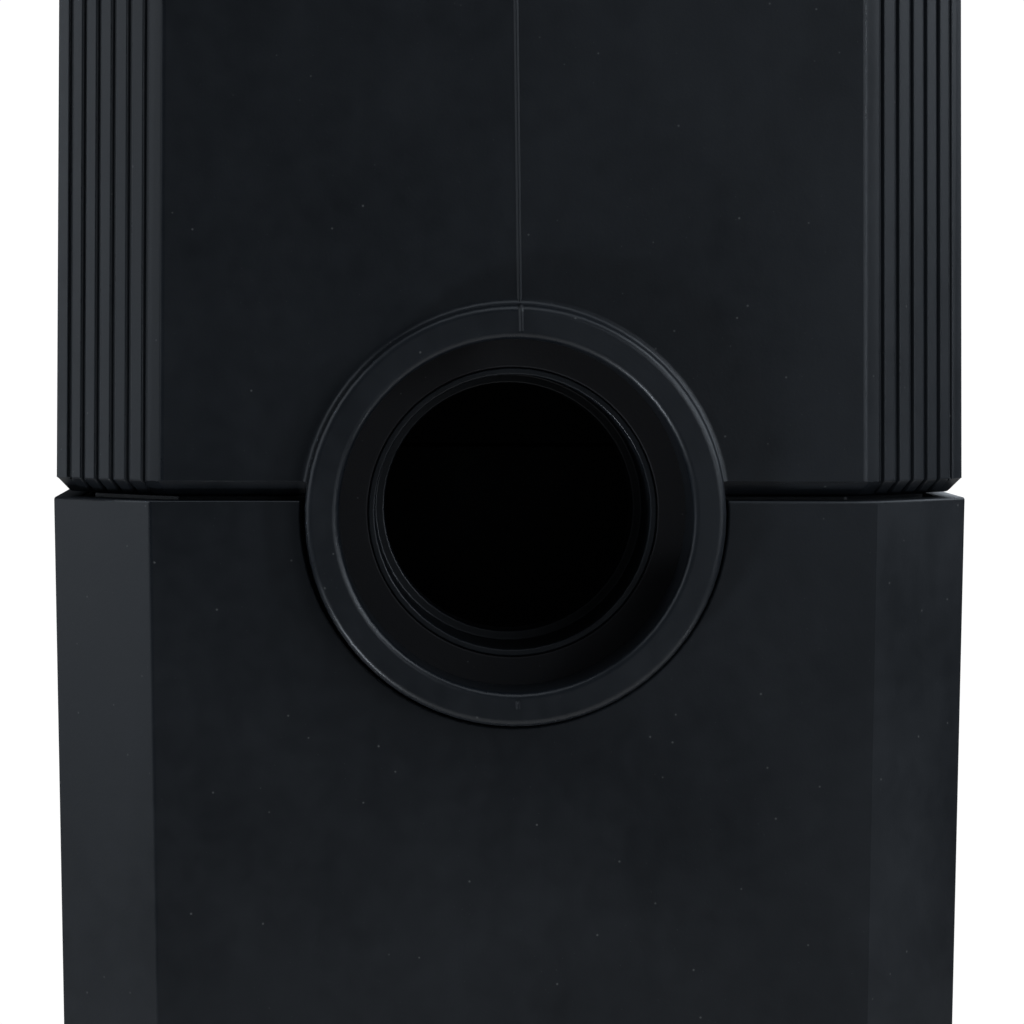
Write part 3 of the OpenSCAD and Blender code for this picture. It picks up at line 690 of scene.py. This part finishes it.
def skin(bm, loops):
    """Joins loops of vertices into a closed bar, with a face over each end."""
    count = len(loops[0])
    for under, over in zip(loops, loops[1:]):
        for i in range(count):
            j = (i + 1) % count
            bm.faces.new((under[i], under[j], over[j], over[i]))
    bm.faces.new(loops[-1])
    bm.faces.new(list(reversed(loops[0])))


def cut_away(obj, cutter):
    """Takes a cutter's shape out of an object, and removes the cutter."""
    cut = obj.modifiers.new("cut", "BOOLEAN")
    cut.operation = "DIFFERENCE"
    cut.solver = "EXACT"
    cut.object = cutter
    settle(obj)
    remove(cutter)
    return obj


# ---- Geometry trees -----------------------------------------------------------------


def geometry_tree(name, inputs):
    """A geometry tree with named inputs: its maker and a wire for each input."""
    tree = bpy.data.node_groups.new(name, "GeometryNodeTree")
    tree.interface.new_socket("Geometry", in_out="INPUT", socket_type="NodeSocketGeometry")
    for label, kind in inputs.items():
        tree.interface.new_socket(label, in_out="INPUT", socket_type="NodeSocket" + kind)
    tree.interface.new_socket("Geometry", in_out="OUTPUT", socket_type="NodeSocketGeometry")
    maker = Maker(tree)
    entry = tree.nodes.new("NodeGroupInput")
    wires = {label: Wire(maker, entry.outputs[label]) for label in ["Geometry", *inputs]}
    return maker, wires


def close_tree(maker, instances, material):
    """Ends a tree in Realize Instances and Set Material."""
    real = maker.add("GeometryNodeRealizeInstances", {}, [instances])
    done = maker.add("GeometryNodeSetMaterial", {}, {"Geometry": real, "Material": material})
    maker.end(done)
    return maker.tree


def grow(name, tree, values, slot, start=None):
    """Runs a geometry tree on a starting mesh and returns a plain mesh object."""
    obj = as_object(name, start or bpy.data.meshes.new(name))
    modifier = obj.modifiers.new("grow", "NODES")
    modifier.node_group = tree
    sockets = {s.name: s for s in tree.interface.items_tree if s.in_out == "INPUT"}
    for label, value in {**values, "Material": finish_for(slot)}.items():
        modifier[sockets[label].identifier] = value
    return settle(obj)


def vector(maker, x=0.0, y=0.0, z=0.0):
    return maker.add("ShaderNodeCombineXYZ", {}, [x, y, z])


def parts_of(maker, wire):
    """The x, y and z of a vector."""
    split = maker.add("ShaderNodeSeparateXYZ", {}, [wire])
    return split, maker.also(split, 1), maker.also(split, 2)


def rib_tree():
    """Ribs side by side along four bulging corner chamfers, leaning in with the walls."""
    inputs = {
        "Rib": "Object", "Count": "Int", "Chord": "Float", "Span": "Float", "Bulge": "Float",
        "Distance": "Float", "Bottom": "Float", "Taper": "Float", "Material": "Material",
    }
    maker, wire = geometry_tree("corner_ribs", inputs)
    chord, bulge = wire["Chord"], wire["Bulge"]
    pitch = wire["Span"] / wire["Count"]
    line = maker.add(
        "GeometryNodeMeshLine", {"mode": "OFFSET"},
        {"Count": wire["Count"], "Offset": vector(maker, pitch),
         "Start Location": vector(maker, (pitch - wire["Span"]) * 0.5)},
    )
    along = parts_of(maker, maker.add("GeometryNodeInputPosition"))[0] * 2.0 / chord
    shift = vector(maker, 0.0, bulge * (1.0 - along * along))
    row = maker.add("GeometryNodeSetPosition", {}, {"Geometry": line, "Offset": shift})
    lean = maker.add("ShaderNodeMath", {"operation": "ARCTANGENT"}, [along * bulge * -4.0 / chord])
    rib = maker.add("GeometryNodeObjectInfo", {}, {"Object": wire["Rib"]}, "Geometry")
    ribs = maker.add(
        "GeometryNodeInstanceOnPoints", {},
        {"Points": row, "Instance": rib, "Rotation": vector(maker, 0.0, 0.0, lean)},
    )
    corners = maker.add("GeometryNodeMeshCircle", {}, {"Vertices": 4, "Radius": wire["Distance"]})
    turned = maker.add(
        "GeometryNodeTransform", {},
        {"Geometry": corners, "Rotation": (0, 0, math.pi / 4),
         "Translation": vector(maker, 0.0, 0.0, wire["Bottom"])},
    )
    x, y, _ = parts_of(maker, maker.add("GeometryNodeInputPosition"))
    facing = maker.add("ShaderNodeMath", {"operation": "ARCTAN2"}, [y, x]) - math.pi / 2
    every = maker.add(
        "GeometryNodeInstanceOnPoints", {},
        {"Points": turned, "Instance": ribs, "Rotation": vector(maker, 0.0, 0.0, facing)},
    )
    real = maker.add("GeometryNodeRealizeInstances", {}, [every])
    x, y, z = parts_of(maker, maker.add("GeometryNodeInputPosition"))
    narrow = 1.0 - (z - wire["Bottom"]) * wire["Taper"]
    leaning = maker.add(
        "GeometryNodeSetPosition", {},
        {"Geometry": real, "Position": vector(maker, x * narrow, y * narrow, z)},
    )
    return close_tree(maker, leaning, wire["Material"])


def ring_tree():
    """Copies of a piece set round the Z axis, each turned to face outwards."""
    inputs = {
        "Piece": "Object", "Count": "Int", "Radius": "Float", "Height": "Float",
        "Turn": "Float", "Material": "Material",
    }
    maker, wire = geometry_tree("ring_of_pieces", inputs)
    circle = maker.add(
        "GeometryNodeMeshCircle", {}, {"Vertices": wire["Count"], "Radius": wire["Radius"]}
    )
    placed = maker.add(
        "GeometryNodeTransform", {},
        {"Geometry": circle, "Rotation": vector(maker, 0.0, 0.0, wire["Turn"]),
         "Translation": vector(maker, 0.0, 0.0, wire["Height"])},
    )
    x, y, _ = parts_of(maker, maker.add("GeometryNodeInputPosition"))
    facing = maker.add("ShaderNodeMath", {"operation": "ARCTAN2"}, [y, x])
    piece = maker.add("GeometryNodeObjectInfo", {}, {"Object": wire["Piece"]}, "Geometry")
    ring = maker.add(
        "GeometryNodeInstanceOnPoints", {},
        {"Points": placed, "Instance": piece, "Rotation": vector(maker, 0.0, 0.0, facing)},
    )
    return close_tree(maker, ring, wire["Material"])


def point_tree():
    """Copies of a piece on the starting points, each turned at random up to Swing."""
    inputs = {"Piece": "Object", "Swing": "Vector", "Seed": "Int", "Material": "Material"}
    maker, wire = geometry_tree("pieces_on_points", inputs)
    turn = maker.add(
        "FunctionNodeRandomValue", {"data_type": "FLOAT_VECTOR"},
        {0: (0, 0, 0), 1: wire["Swing"], "Seed": wire["Seed"]},
    )
    piece = maker.add("GeometryNodeObjectInfo", {}, {"Object": wire["Piece"]}, "Geometry")
    copies = maker.add(
        "GeometryNodeInstanceOnPoints", {},
        {"Points": wire["Geometry"], "Instance": piece, "Rotation": turn},
    )
    return close_tree(maker, copies, wire["Material"])


TREES = {}


def tree_named(build):
    """The tree that a function builds, made once."""
    if build not in TREES:
        TREES[build] = build()
    return TREES[build]


# ---- Shapes of the upper housing ----------------------------------------------------


def housing_settings():
    return bpy.context.scene.skimmer_housing


def chamfer_frame(settings):
    """The length of a corner chamfer's chord and its distance from the axis."""
    return settings.chamfer * math.sqrt(2), (settings.width - settings.chamfer) / math.sqrt(2)


def narrowing(settings, z):
    """The upper housing's width at a height, as a share of its width under the ribs."""
    run = settings.deck - settings.skirt_top
    return 1 - settings.taper / settings.width * (z - settings.skirt_top) / run


def corner_cutters(settings):
    """Solids that take the ribs between the outermost grooves off the four corners."""
    chord, distance = chamfer_frame(settings)
    pitch = chord / settings.rib_count
    steps = 20
    line = []
    for i in range(steps + 1):
        s = pitch + (chord - 2 * pitch) * i / steps - chord / 2
        line.append((s, settings.bulge * (1 - (2 * s / chord) ** 2) - settings.rib_height - CLEAR))
    line += [(line[-1][0], PAST), (line[0][0], PAST)]
    bm = bmesh.new()
    for quarter in range(4):
        turn = Matrix.Rotation(quarter * math.pi / 2 - math.pi / 4, 2)
        loops = []
        for z in (settings.skirt_top - PAST, settings.deck + PAST):
            narrow = narrowing(settings, z)
            flat = [turn @ Vector((s, distance + out)) * narrow for s, out in line]
            loops.append([bm.verts.new((x, y, z)) for x, y in flat])
        skin(bm, loops)
    bmesh.ops.recalc_face_normals(bm, faces=bm.faces)
    return mesh_from("corner_cutters", bm)


def prism(name, profile, length, tip, foot):
    """A bar along Z with this profile, its ends drawn in by tip, from z = 0 to length.

    Below z = 0 it leans inwards at 45 degrees until it is foot lower.
    """
    bm = bmesh.new()
    middle = sum((Vector(p) for p in profile), Vector((0, 0))) / len(profile)
    middle.y = min(p[1] for p in profile)
    loops = []
    for z, inset in ((-foot, tip), (tip - foot, 0), (0, 0), (length - tip, 0), (length, tip)):
        ring = []
        for point in profile:
            across = Vector(point) - middle
            drawn = across * (1 - inset / max(across.length, 1e-9)) if inset else across
            x, y = middle + drawn
            ring.append(bm.verts.new((x, y + min(z, 0), z)))
        loops.append(ring)
    skin(bm, loops)
    bmesh.ops.recalc_face_normals(bm, faces=bm.faces)
    return mesh_from(name, bm)


def ridge(bm, path, width, height):
    """A low ridge along (point, outward direction) pairs, sunk slightly into the surface."""
    base, crest = width / 2, width * 0.1
    profile = ((-base, -RIDGE_SUNK), (-base, 0), (-crest, height),
               (crest, height), (base, 0), (base, -RIDGE_SUNK))
    loops = []
    for i, (point, out) in enumerate(path):
        after = Vector(path[min(i + 1, len(path) - 1)][0])
        before = Vector(path[max(i - 1, 0)][0])
        out = Vector(out).normalized()
        side = (after - before).cross(out).normalized()
        loops.append([bm.verts.new(Vector(point) + side * s + out * o) for s, o in profile])
    skin(bm, loops)


def parting_line(settings):
    """The mould's parting line down the front wall and over the socket ring."""
    face_y = low("upper_housing").y
    edge = settings.ring_edge
    ring_top = SOCKET.z + settings.ring_width / 2
    mouth = SOCKET.z + settings.mouth_width / 2

    def across(z):
        return settings.seam_start + settings.seam_lean * (z - mouth) / (settings.deck - mouth)

    def wall(z):
        return -settings.width / 2 * narrowing(settings, z)

    def add(path):
        ridge(bm, path, settings.seam_width, settings.seam_height)

    bm = bmesh.new()
    steps = 12
    rise = (settings.deck - SEAM_END - ring_top) / steps
    heights = [ring_top + rise * i for i in range(steps, -1, -1)]
    add([((across(z), wall(z), z), (0, -1, 0)) for z in heights])
    over = [((across(ring_top), wall(ring_top) + SUNK, ring_top), (0, 0, 1))]
    for i in range(SEAM_BEND + 1):
        a = math.pi / 2 * i / SEAM_BEND
        y, z = face_y + edge - edge * math.sin(a), ring_top - edge + edge * math.cos(a)
        over.append(((across(ring_top), y, z), (0, -math.sin(a), math.cos(a))))
    over.append(((across(mouth), face_y, mouth + edge), (0, -1, 0)))
    add(over)
    foot = SOCKET.z - settings.mouth_width / 2 - edge
    tick = ((0.0003, foot), (0.00035, foot - SEAM_TICK))
    add([((x, face_y, z), (0, -1, 0)) for x, z in tick])
    bmesh.ops.recalc_face_normals(bm, faces=bm.faces)
    return mesh_from("parting_line", bm)


# ---- Operators ----------------------------------------------------------------------


class SKIMMER_OT_lower_housing(Operator):
    """Finish the lower housing"""

    bl_idname = "skimmer.lower_housing"
    bl_label = "Lower Housing"

    def execute(self, context):
        rounded_piece("lower_housing", housing_settings().edge)
        return {"FINISHED"}


class SKIMMER_OT_upper_housing(Operator):
    """Finish the upper housing, with its ribbed corners and parting line"""

    bl_idname = "skimmer.upper_housing"
    bl_label = "Upper Housing"

    def execute(self, context):
        settings = housing_settings()
        shell = mesh_from("upper_housing_moulding", closed_copy("upper_housing"))
        cut_away(shell, corner_cutters(settings))
        ring_r = settings.ring_width / 2

        def radius(point):
            off = (point - SOCKET).xz.length
            near = point.y < SOCKET.y + RING_DEPTH and off < ring_r + RING_SLACK
            return settings.ring_edge if near else settings.edge

        round_edges(shell, settings.edge, radius)
        shade(shell)
        present(shell, "housing", "upper", "upper_housing")

        chord, distance = chamfer_frame(settings)
        crest, base, height = settings.rib_crest / 2, settings.rib_base / 2, settings.rib_height
        profile = [(-base, -SUNK), (-base, 0), (-crest, height),
                   (crest, height), (base, 0), (base, -SUNK)]
        run = settings.deck - settings.skirt_top
        inner = settings.rib_count - 2
        rib = prism("rib", profile, run, RIB_TIP, settings.rib_foot)
        round_edges(rib, RIB_EDGE)
        values = {
            "Rib": rib,
            "Count": inner,
            "Chord": chord,
            "Span": chord * inner / settings.rib_count,
            "Bulge": settings.bulge,
            "Distance": distance - height,
            "Bottom": settings.skirt_top,
            "Taper": settings.taper / settings.width / run,
        }
        ribs = grow("corner_ribs", tree_named(rib_tree), values, "housing")
        remove(rib)
        shade(ribs)
        present(ribs, "housing", "upper")
        seam = parting_line(settings)
        shade(seam)
        present(seam, "housing", "upper")
        return {"FINISHED"}


class SKIMMER_OT_screws(Operator):
    """Make the screws of the deck, the cradle and the pump cover"""

    bl_idname = "skimmer.screws"
    bl_label = "Screws"

    def execute(self, context):
        for screws in SCREWS:
            make_screws(*screws)
        return {"FINISHED"}


# Node, whether they lie along Y, height of the head and seed of their turns.
SCREWS = (
    ("deck_screws", False, 0.0022, 3),
    ("cradle_screws", False, 0.0022, 4),
    ("cover_screws", True, 0.0018, 5),
)


def make_screws(node, along_y, head_h, seed):
    """Screws where the CAD node has them, all pointing one way."""
    solids = loose_boxes(node)
    lo, hi = solids[0]
    turn = Matrix.Rotation(-math.pi / 2, 4, "X") if along_y else Matrix.Identity(4)
    size = hi - lo
    length = size.y if along_y else size.z
    head_r = size.x / 2
    piece = screw_piece(head_r, length, head_h)
    piece.data.transform(turn)
    points = []
    for lo, hi in solids:
        x, y, z = (lo + hi) / 2
        points.append((x, hi.y, z) if along_y else (x, y, hi.z))
    mesh = bpy.data.meshes.new(node)
    mesh.from_pydata(points, [], [])
    full = 2 * math.pi
    swing = (0, full, 0) if along_y else (0, 0, full)
    values = {"Piece": piece, "Swing": swing, "Seed": seed}
    screws = grow(node + "_set", tree_named(point_tree), values, "steel", mesh)
    remove(piece)
    shade(screws)
    present(screws, "steel", body_of(node), node)


def loose_boxes(node):
    """The box of each separate solid of a CAD node, in a fixed order."""
    bm = closed_copy(node)
    left = set(bm.verts)
    boxes = []
    while left:
        front = [left.pop()]
        found = []
        while front:
            vert = front.pop()
            found.append(vert.co.copy())
            for edge in vert.link_edges:
                other = edge.other_vert(vert)
                if other in left:
                    left.remove(other)
                    front.append(other)
        lo = Vector([min(p[k] for p in found) for k in range(3)])
        hi = Vector([max(p[k] for p in found) for k in range(3)])
        boxes.append((lo, hi))
    bm.free()
    return sorted(boxes, key=lambda b: tuple(round(v, 5) for v in b[0]))


def screw_piece(head_r, length, head_h):
    """A pan-head screw with a hexagonal socket. Its top is at z = 0 and it points down."""
    shank = head_r * 0.43
    drop = head_h * 0.35
    outline = [(0, -length), (shank * 0.5, -length + 0.0002), (shank, -length + 0.001)]
    turns = int((length - head_h - 0.002) / THREAD_PITCH)
    for i in range(turns):
        z = -length + 0.0012 + i * THREAD_PITCH
        outline += [(shank, z), (shank * 0.86, z + THREAD_PITCH / 2)]
    outline += [(shank, -head_h - 0.0003), (shank, -head_h), (head_r * 0.96, -head_h),
                (head_r, -head_h * 0.85), (head_r, -drop), (head_r * 0.93, -drop * 0.35),
                (head_r * 0.75, -drop * 0.05), (head_r * 0.62, 0), (0, 0)]
    blank = lathe("screw", outline, 36)
    cutter = lathe("hex", [(0, -head_h * 0.62), (head_r * 0.45, -head_h * 0.5),
                           (head_r * 0.45, 0.001), (0, 0.001)], 6)
    return cut_away(blank, cutter)


class RoundedPieces:
    """An operator's execute for pieces that only need their edges rounded."""

    radii = {}

    def execute(self, context):
        for node, radius in self.radii.items():
            rounded_piece(node, radius)
        return {"FINISHED"}


class SKIMMER_OT_feet(Operator):
    """Make the four rubber feet"""

    bl_idname = "skimmer.feet"
    bl_label = "Feet"

    def execute(self, context):
        lo, hi = low("foot_pads"), high("foot_pads")
        solids = loose_boxes("foot_pads")
        near, far = solids[0]
        radius = (far.x - near.x) / 2
        stand = ((near + far) / 2).xy
        foot = foot_piece(radius, hi.z - lo.z)
        values = {
            "Piece": foot,
            "Count": len(solids),
            "Radius": stand.length,
            "Height": lo.z,
            "Turn": math.pi / 4,
        }
        feet = grow("foot_set", tree_named(ring_tree), values, "rubber")
        remove(foot)
        shade(feet)
        present(feet, "rubber", body_of("foot_pads"), "foot_pads")
        return {"FINISHED"}


def foot_piece(radius, height):
    """A foot with grip rings underneath and grooves round its side."""
    sole = radius - 0.0012
    outline = [(0, 0.0008), (0.0012, 0.0008)]
    for i in range(3):
        r = 0.0018 + i * (sole - 0.0018) / 3
        outline += [(r, 0.0), (r + 0.0011, 0.0), (r + 0.0015, 0.0008)]
    outline[-1] = (sole, 0.0)
    outline += [(radius - 0.0004, 0.0007)]
    for z in (0.0016, 0.0030):
        outline += [(radius, z), (radius, z + 0.0006),
                    (radius - GROOVE, z + 0.0008), (radius - GROOVE, z + 0.0011)]
    outline += [(radius, 0.0044), (radius, height - 0.0003), (radius - 0.0003, height), (0, height)]
    return lathe("foot", outline, 48)


class SKIMMER_OT_intake(RoundedPieces, Operator):
    """Finish the rear wall's intake screen and cable gland"""

    bl_idname = "skimmer.intake"
    bl_label = "Intake Screen"
    radii = {"intake_screen": 0.0004, "cable_gland": 0.0005}


class SKIMMER_OT_pump(RoundedPieces, Operator):
    """Finish the pump and the cradle that carries it"""

    bl_idname = "skimmer.pump"
    bl_label = "Pump"
    radii = {
        "cradle_mounts": 0.0003, "pump_cradle": 0.0004, "motor_housing": 0.0003,
        "motor_gland": 0.0003, "volute": 0.0004, "volute_seal": 0.0002, "pump_cover": 0.0003,
    }


class SKIMMER_OT_rotor(RoundedPieces, Operator):
    """Finish the rotor, its needle wheel and its bearings"""

    bl_idname = "skimmer.rotor"
    bl_label = "Rotor"
    radii = {
        "rear_bush": 0.0002, "front_bush": 0.0002, "rotor_shaft": 0.0002,
        "rotor_magnet": 0.0003, "needle_wheel": 0.0002,
    }


class SKIMMER_OT_water_way(RoundedPieces, Operator):
    """Finish the riser, the bubble plate and the seals along the water's way"""

    bl_idname = "skimmer.water_way"
    bl_label = "Water Way"
    radii = {
        "pump_riser": 0.0004, "riser_seal": 0.0003, "housing_gasket": 0.0004,
        "bubble_plate": 0.0003, "socket_seal": 0.0003,
    }


class SKIMMER_OT_level_gate(RoundedPieces, Operator):
    """Finish the outlet gate and the knob that sets the water level"""

    bl_idname = "skimmer.level_gate"
    bl_label = "Level Gate"
    radii = {
        "gate_frame": 0.0003, "outlet_gate": 0.0003, "gate_spindle": 0.0002,
        "spindle_bush": 0.0002, "level_knob": 0.0004,
    }


class SKIMMER_OT_deck(RoundedPieces, Operator):
    """Finish the deck with its foam neck, and its gasket"""

    bl_idname = "skimmer.deck"
    bl_label = "Deck"
    radii = {"top_deck": 0.0005, "deck_gasket": 0.0002}


class SKIMMER_OT_air_line(RoundedPieces, Operator):
    """Finish the air pickup, the snorkel, the valve and its silencer"""

    bl_idname = "skimmer.air_line"
    bl_label = "Air Line"
    radii = {
        "air_pickup": 0.0003, "air_snorkel": 0.0002, "air_valve_body": 0.0004,
        "silencer_shell": 0.0004, "silencer_foam": 0.0003, "air_knob": 0.0004,
    }


class SKIMMER_OT_cup(RoundedPieces, Operator):
    """Finish the collection cup, its lid and their seals"""

    bl_idname = "skimmer.cup"
    bl_label = "Collection Cup"
    radii = {"collection_cup": 0.0005, "cup_seal": 0.0003, "cup_lid": 0.0007, "lid_seal": 0.0002}


class SKIMMER_OT_drain(RoundedPieces, Operator):
    """Finish the cup's drain nipple, tap and lever"""

    bl_idname = "skimmer.drain"
    bl_label = "Drain"
    radii = {"drain_nipple": 0.0003, "drain_tap": 0.0003, "drain_lever": 0.0005}


class SKIMMER_OT_stage(Operator):
    """Set up the floor, the lights and the camera"""

    bl_idname = "skimmer.stage"
    bl_label = "Stage"

    def execute(self, context):
        settings = context.scene.skimmer_stage
        lens = bpy.data.cameras.new("camera")
        lens.lens = settings.lens
        lens.clip_start, lens.clip_end = 0.01, 20
        camera = bpy.data.objects.new("camera", lens)
        context.scene.collection.objects.link(camera)
        pitch, roll, yaw = settings.camera_turn
        camera.matrix_world = (
            Matrix.Translation(settings.camera_place)
            @ Matrix.Rotation(yaw, 4, "Z")
            @ Matrix.Rotation(math.pi / 2 + pitch, 4, "X")
            @ Matrix.Rotation(roll, 4, "Z")
        )
        context.scene.camera = camera
        context.scene.view_settings.view_transform = "Standard"
        make_sky(context.scene)
        make_floor(settings.floor_radius)
        middle = Vector((0, 0, 0.24))
        for panel in PANELS:
            softbox(*panel[:2], middle, *panel[2:])
        for name, place, size, power in SPOTS:
            softbox(name, place, SOCKET, size, size, power).data.spread = SPOT_SPREAD
        return {"FINISHED"}


PANELS = (
    ("left_panel", (-1.1, 0.0, 0.56), 1.5, 1.18, 4.2),
    ("right_panel", (1.1, 0.0, 0.86), 1.5, 1.1, 8.8),
    ("high_right_panel", (0.95, -0.95, 0.75), 0.20, 0.20, 0.9),
    ("right_strip", (0.98, -0.92, 0.36), 0.08, 0.80, 1.3),
    ("front_right_panel", (0.62, -1.35, 0.42), 0.35, 0.7, 1.2),
    ("top_panel", (0.1, 0.1, 1.6), 2.0, 2.0, 9.0),
    ("back_panel", (0.35, 1.5, 0.7), 0.9, 0.9, 3.0),
)
SPOTS = (
    ("low_left_spot", (-0.70, -0.55, -0.50), 0.16, 0.030),
    ("low_right_spot", (0.75, -0.50, -0.35), 0.25, 0.006),
)
SPOT_SPREAD = math.radians(14)


def softbox(name, place, aim, width, height, power):
    """A soft light of this size that points at the object."""
    light = bpy.data.lights.new(name, "AREA")
    light.color = COOL
    light.shape = "RECTANGLE"
    light.size, light.size_y = width, height
    light.energy = power
    obj = bpy.data.objects.new(name, light)
    bpy.context.scene.collection.objects.link(obj)
    obj.visible_camera = False
    obj.location = place
    obj.rotation_euler = (aim - Vector(place)).to_track_quat("-Z", "Y").to_euler()
    return obj


def make_sky(scene):
    """White behind the object and in mirrors, and a dim even light on it."""
    world = bpy.data.worlds.new("studio")
    world.use_nodes = True
    scene.world = world
    maker = Maker(world.node_tree)
    sky = world.node_tree.nodes["Background"]
    seen = maker.add("ShaderNodeLightPath")
    factor = maker.larger(seen, maker.also(seen, "Is Singular Ray"))
    strength = AMBIENT + factor * (BACKDROP - AMBIENT)
    tint = maker.mix(factor, rgba(COOL), (1, 1, 1, 1))
    world.node_tree.links.new(tint.socket, sky.inputs["Color"])
    world.node_tree.links.new(strength.socket, sky.inputs["Strength"])


def make_floor(radius):
    """A pale floor that fades out into the white round it."""
    bm = bmesh.new()
    bmesh.ops.create_circle(bm, cap_ends=True, segments=96, radius=radius)
    floor = mesh_from("floor", bm)
    material, maker, shader = shader_tree("floor", ior=1.45)
    place = maker.add("ShaderNodeTexCoord", output="Object")
    far = maker.add("ShaderNodeVectorMath", {"operation": "LENGTH"}, [place], "Value")
    cloud = maker.noise(place, 6, 3)
    base = maker.scale((0.93, 0.86, 0.79), 0.97 + 0.05 * cloud)
    fade = 1.0 - maker.step(far, radius * 0.2, radius * 0.98)
    feed(maker, shader, base_color=base, roughness=0.55 + 0.1 * cloud, alpha=fade)
    floor.data.materials.append(material)
    floor.visible_shadow = False


# ---- Panel and registration ---------------------------------------------------------


OPERATORS = (
    SKIMMER_OT_stage,
    SKIMMER_OT_lower_housing,
    SKIMMER_OT_upper_housing,
    SKIMMER_OT_feet,
    SKIMMER_OT_intake,
    SKIMMER_OT_pump,
    SKIMMER_OT_rotor,
    SKIMMER_OT_water_way,
    SKIMMER_OT_level_gate,
    SKIMMER_OT_deck,
    SKIMMER_OT_air_line,
    SKIMMER_OT_cup,
    SKIMMER_OT_drain,
    SKIMMER_OT_screws,
)


class SKIMMER_PT_pieces(Panel):
    """Buttons that make the skimmer's pieces and the stage"""

    bl_idname = "SKIMMER_PT_pieces"
    bl_label = "Protein Skimmer"
    bl_space_type = "VIEW_3D"
    bl_region_type = "UI"
    bl_category = "Skimmer"

    def draw(self, context):
        for operator in OPERATORS:
            self.layout.operator(operator.bl_idname)


GROUPS = {
    "skimmer_housing": HousingSettings,
    "skimmer_finish": FinishSettings,
    "skimmer_stage": StageSettings,
}


def register():
    for cls in (*GROUPS.values(), *OPERATORS, SKIMMER_PT_pieces):
        bpy.utils.register_class(cls)
    for name, group in GROUPS.items():
        setattr(bpy.types.Scene, name, PointerProperty(type=group))


def unregister():
    for name in GROUPS:
        delattr(bpy.types.Scene, name)
    for cls in reversed((*GROUPS.values(), *OPERATORS, SKIMMER_PT_pieces)):
        bpy.utils.unregister_class(cls)


def main():
    register()
    for operator in OPERATORS:
        group, name = operator.bl_idname.split(".")
        getattr(getattr(bpy.ops, group), name)()


if __name__ == "__main__":
    main()
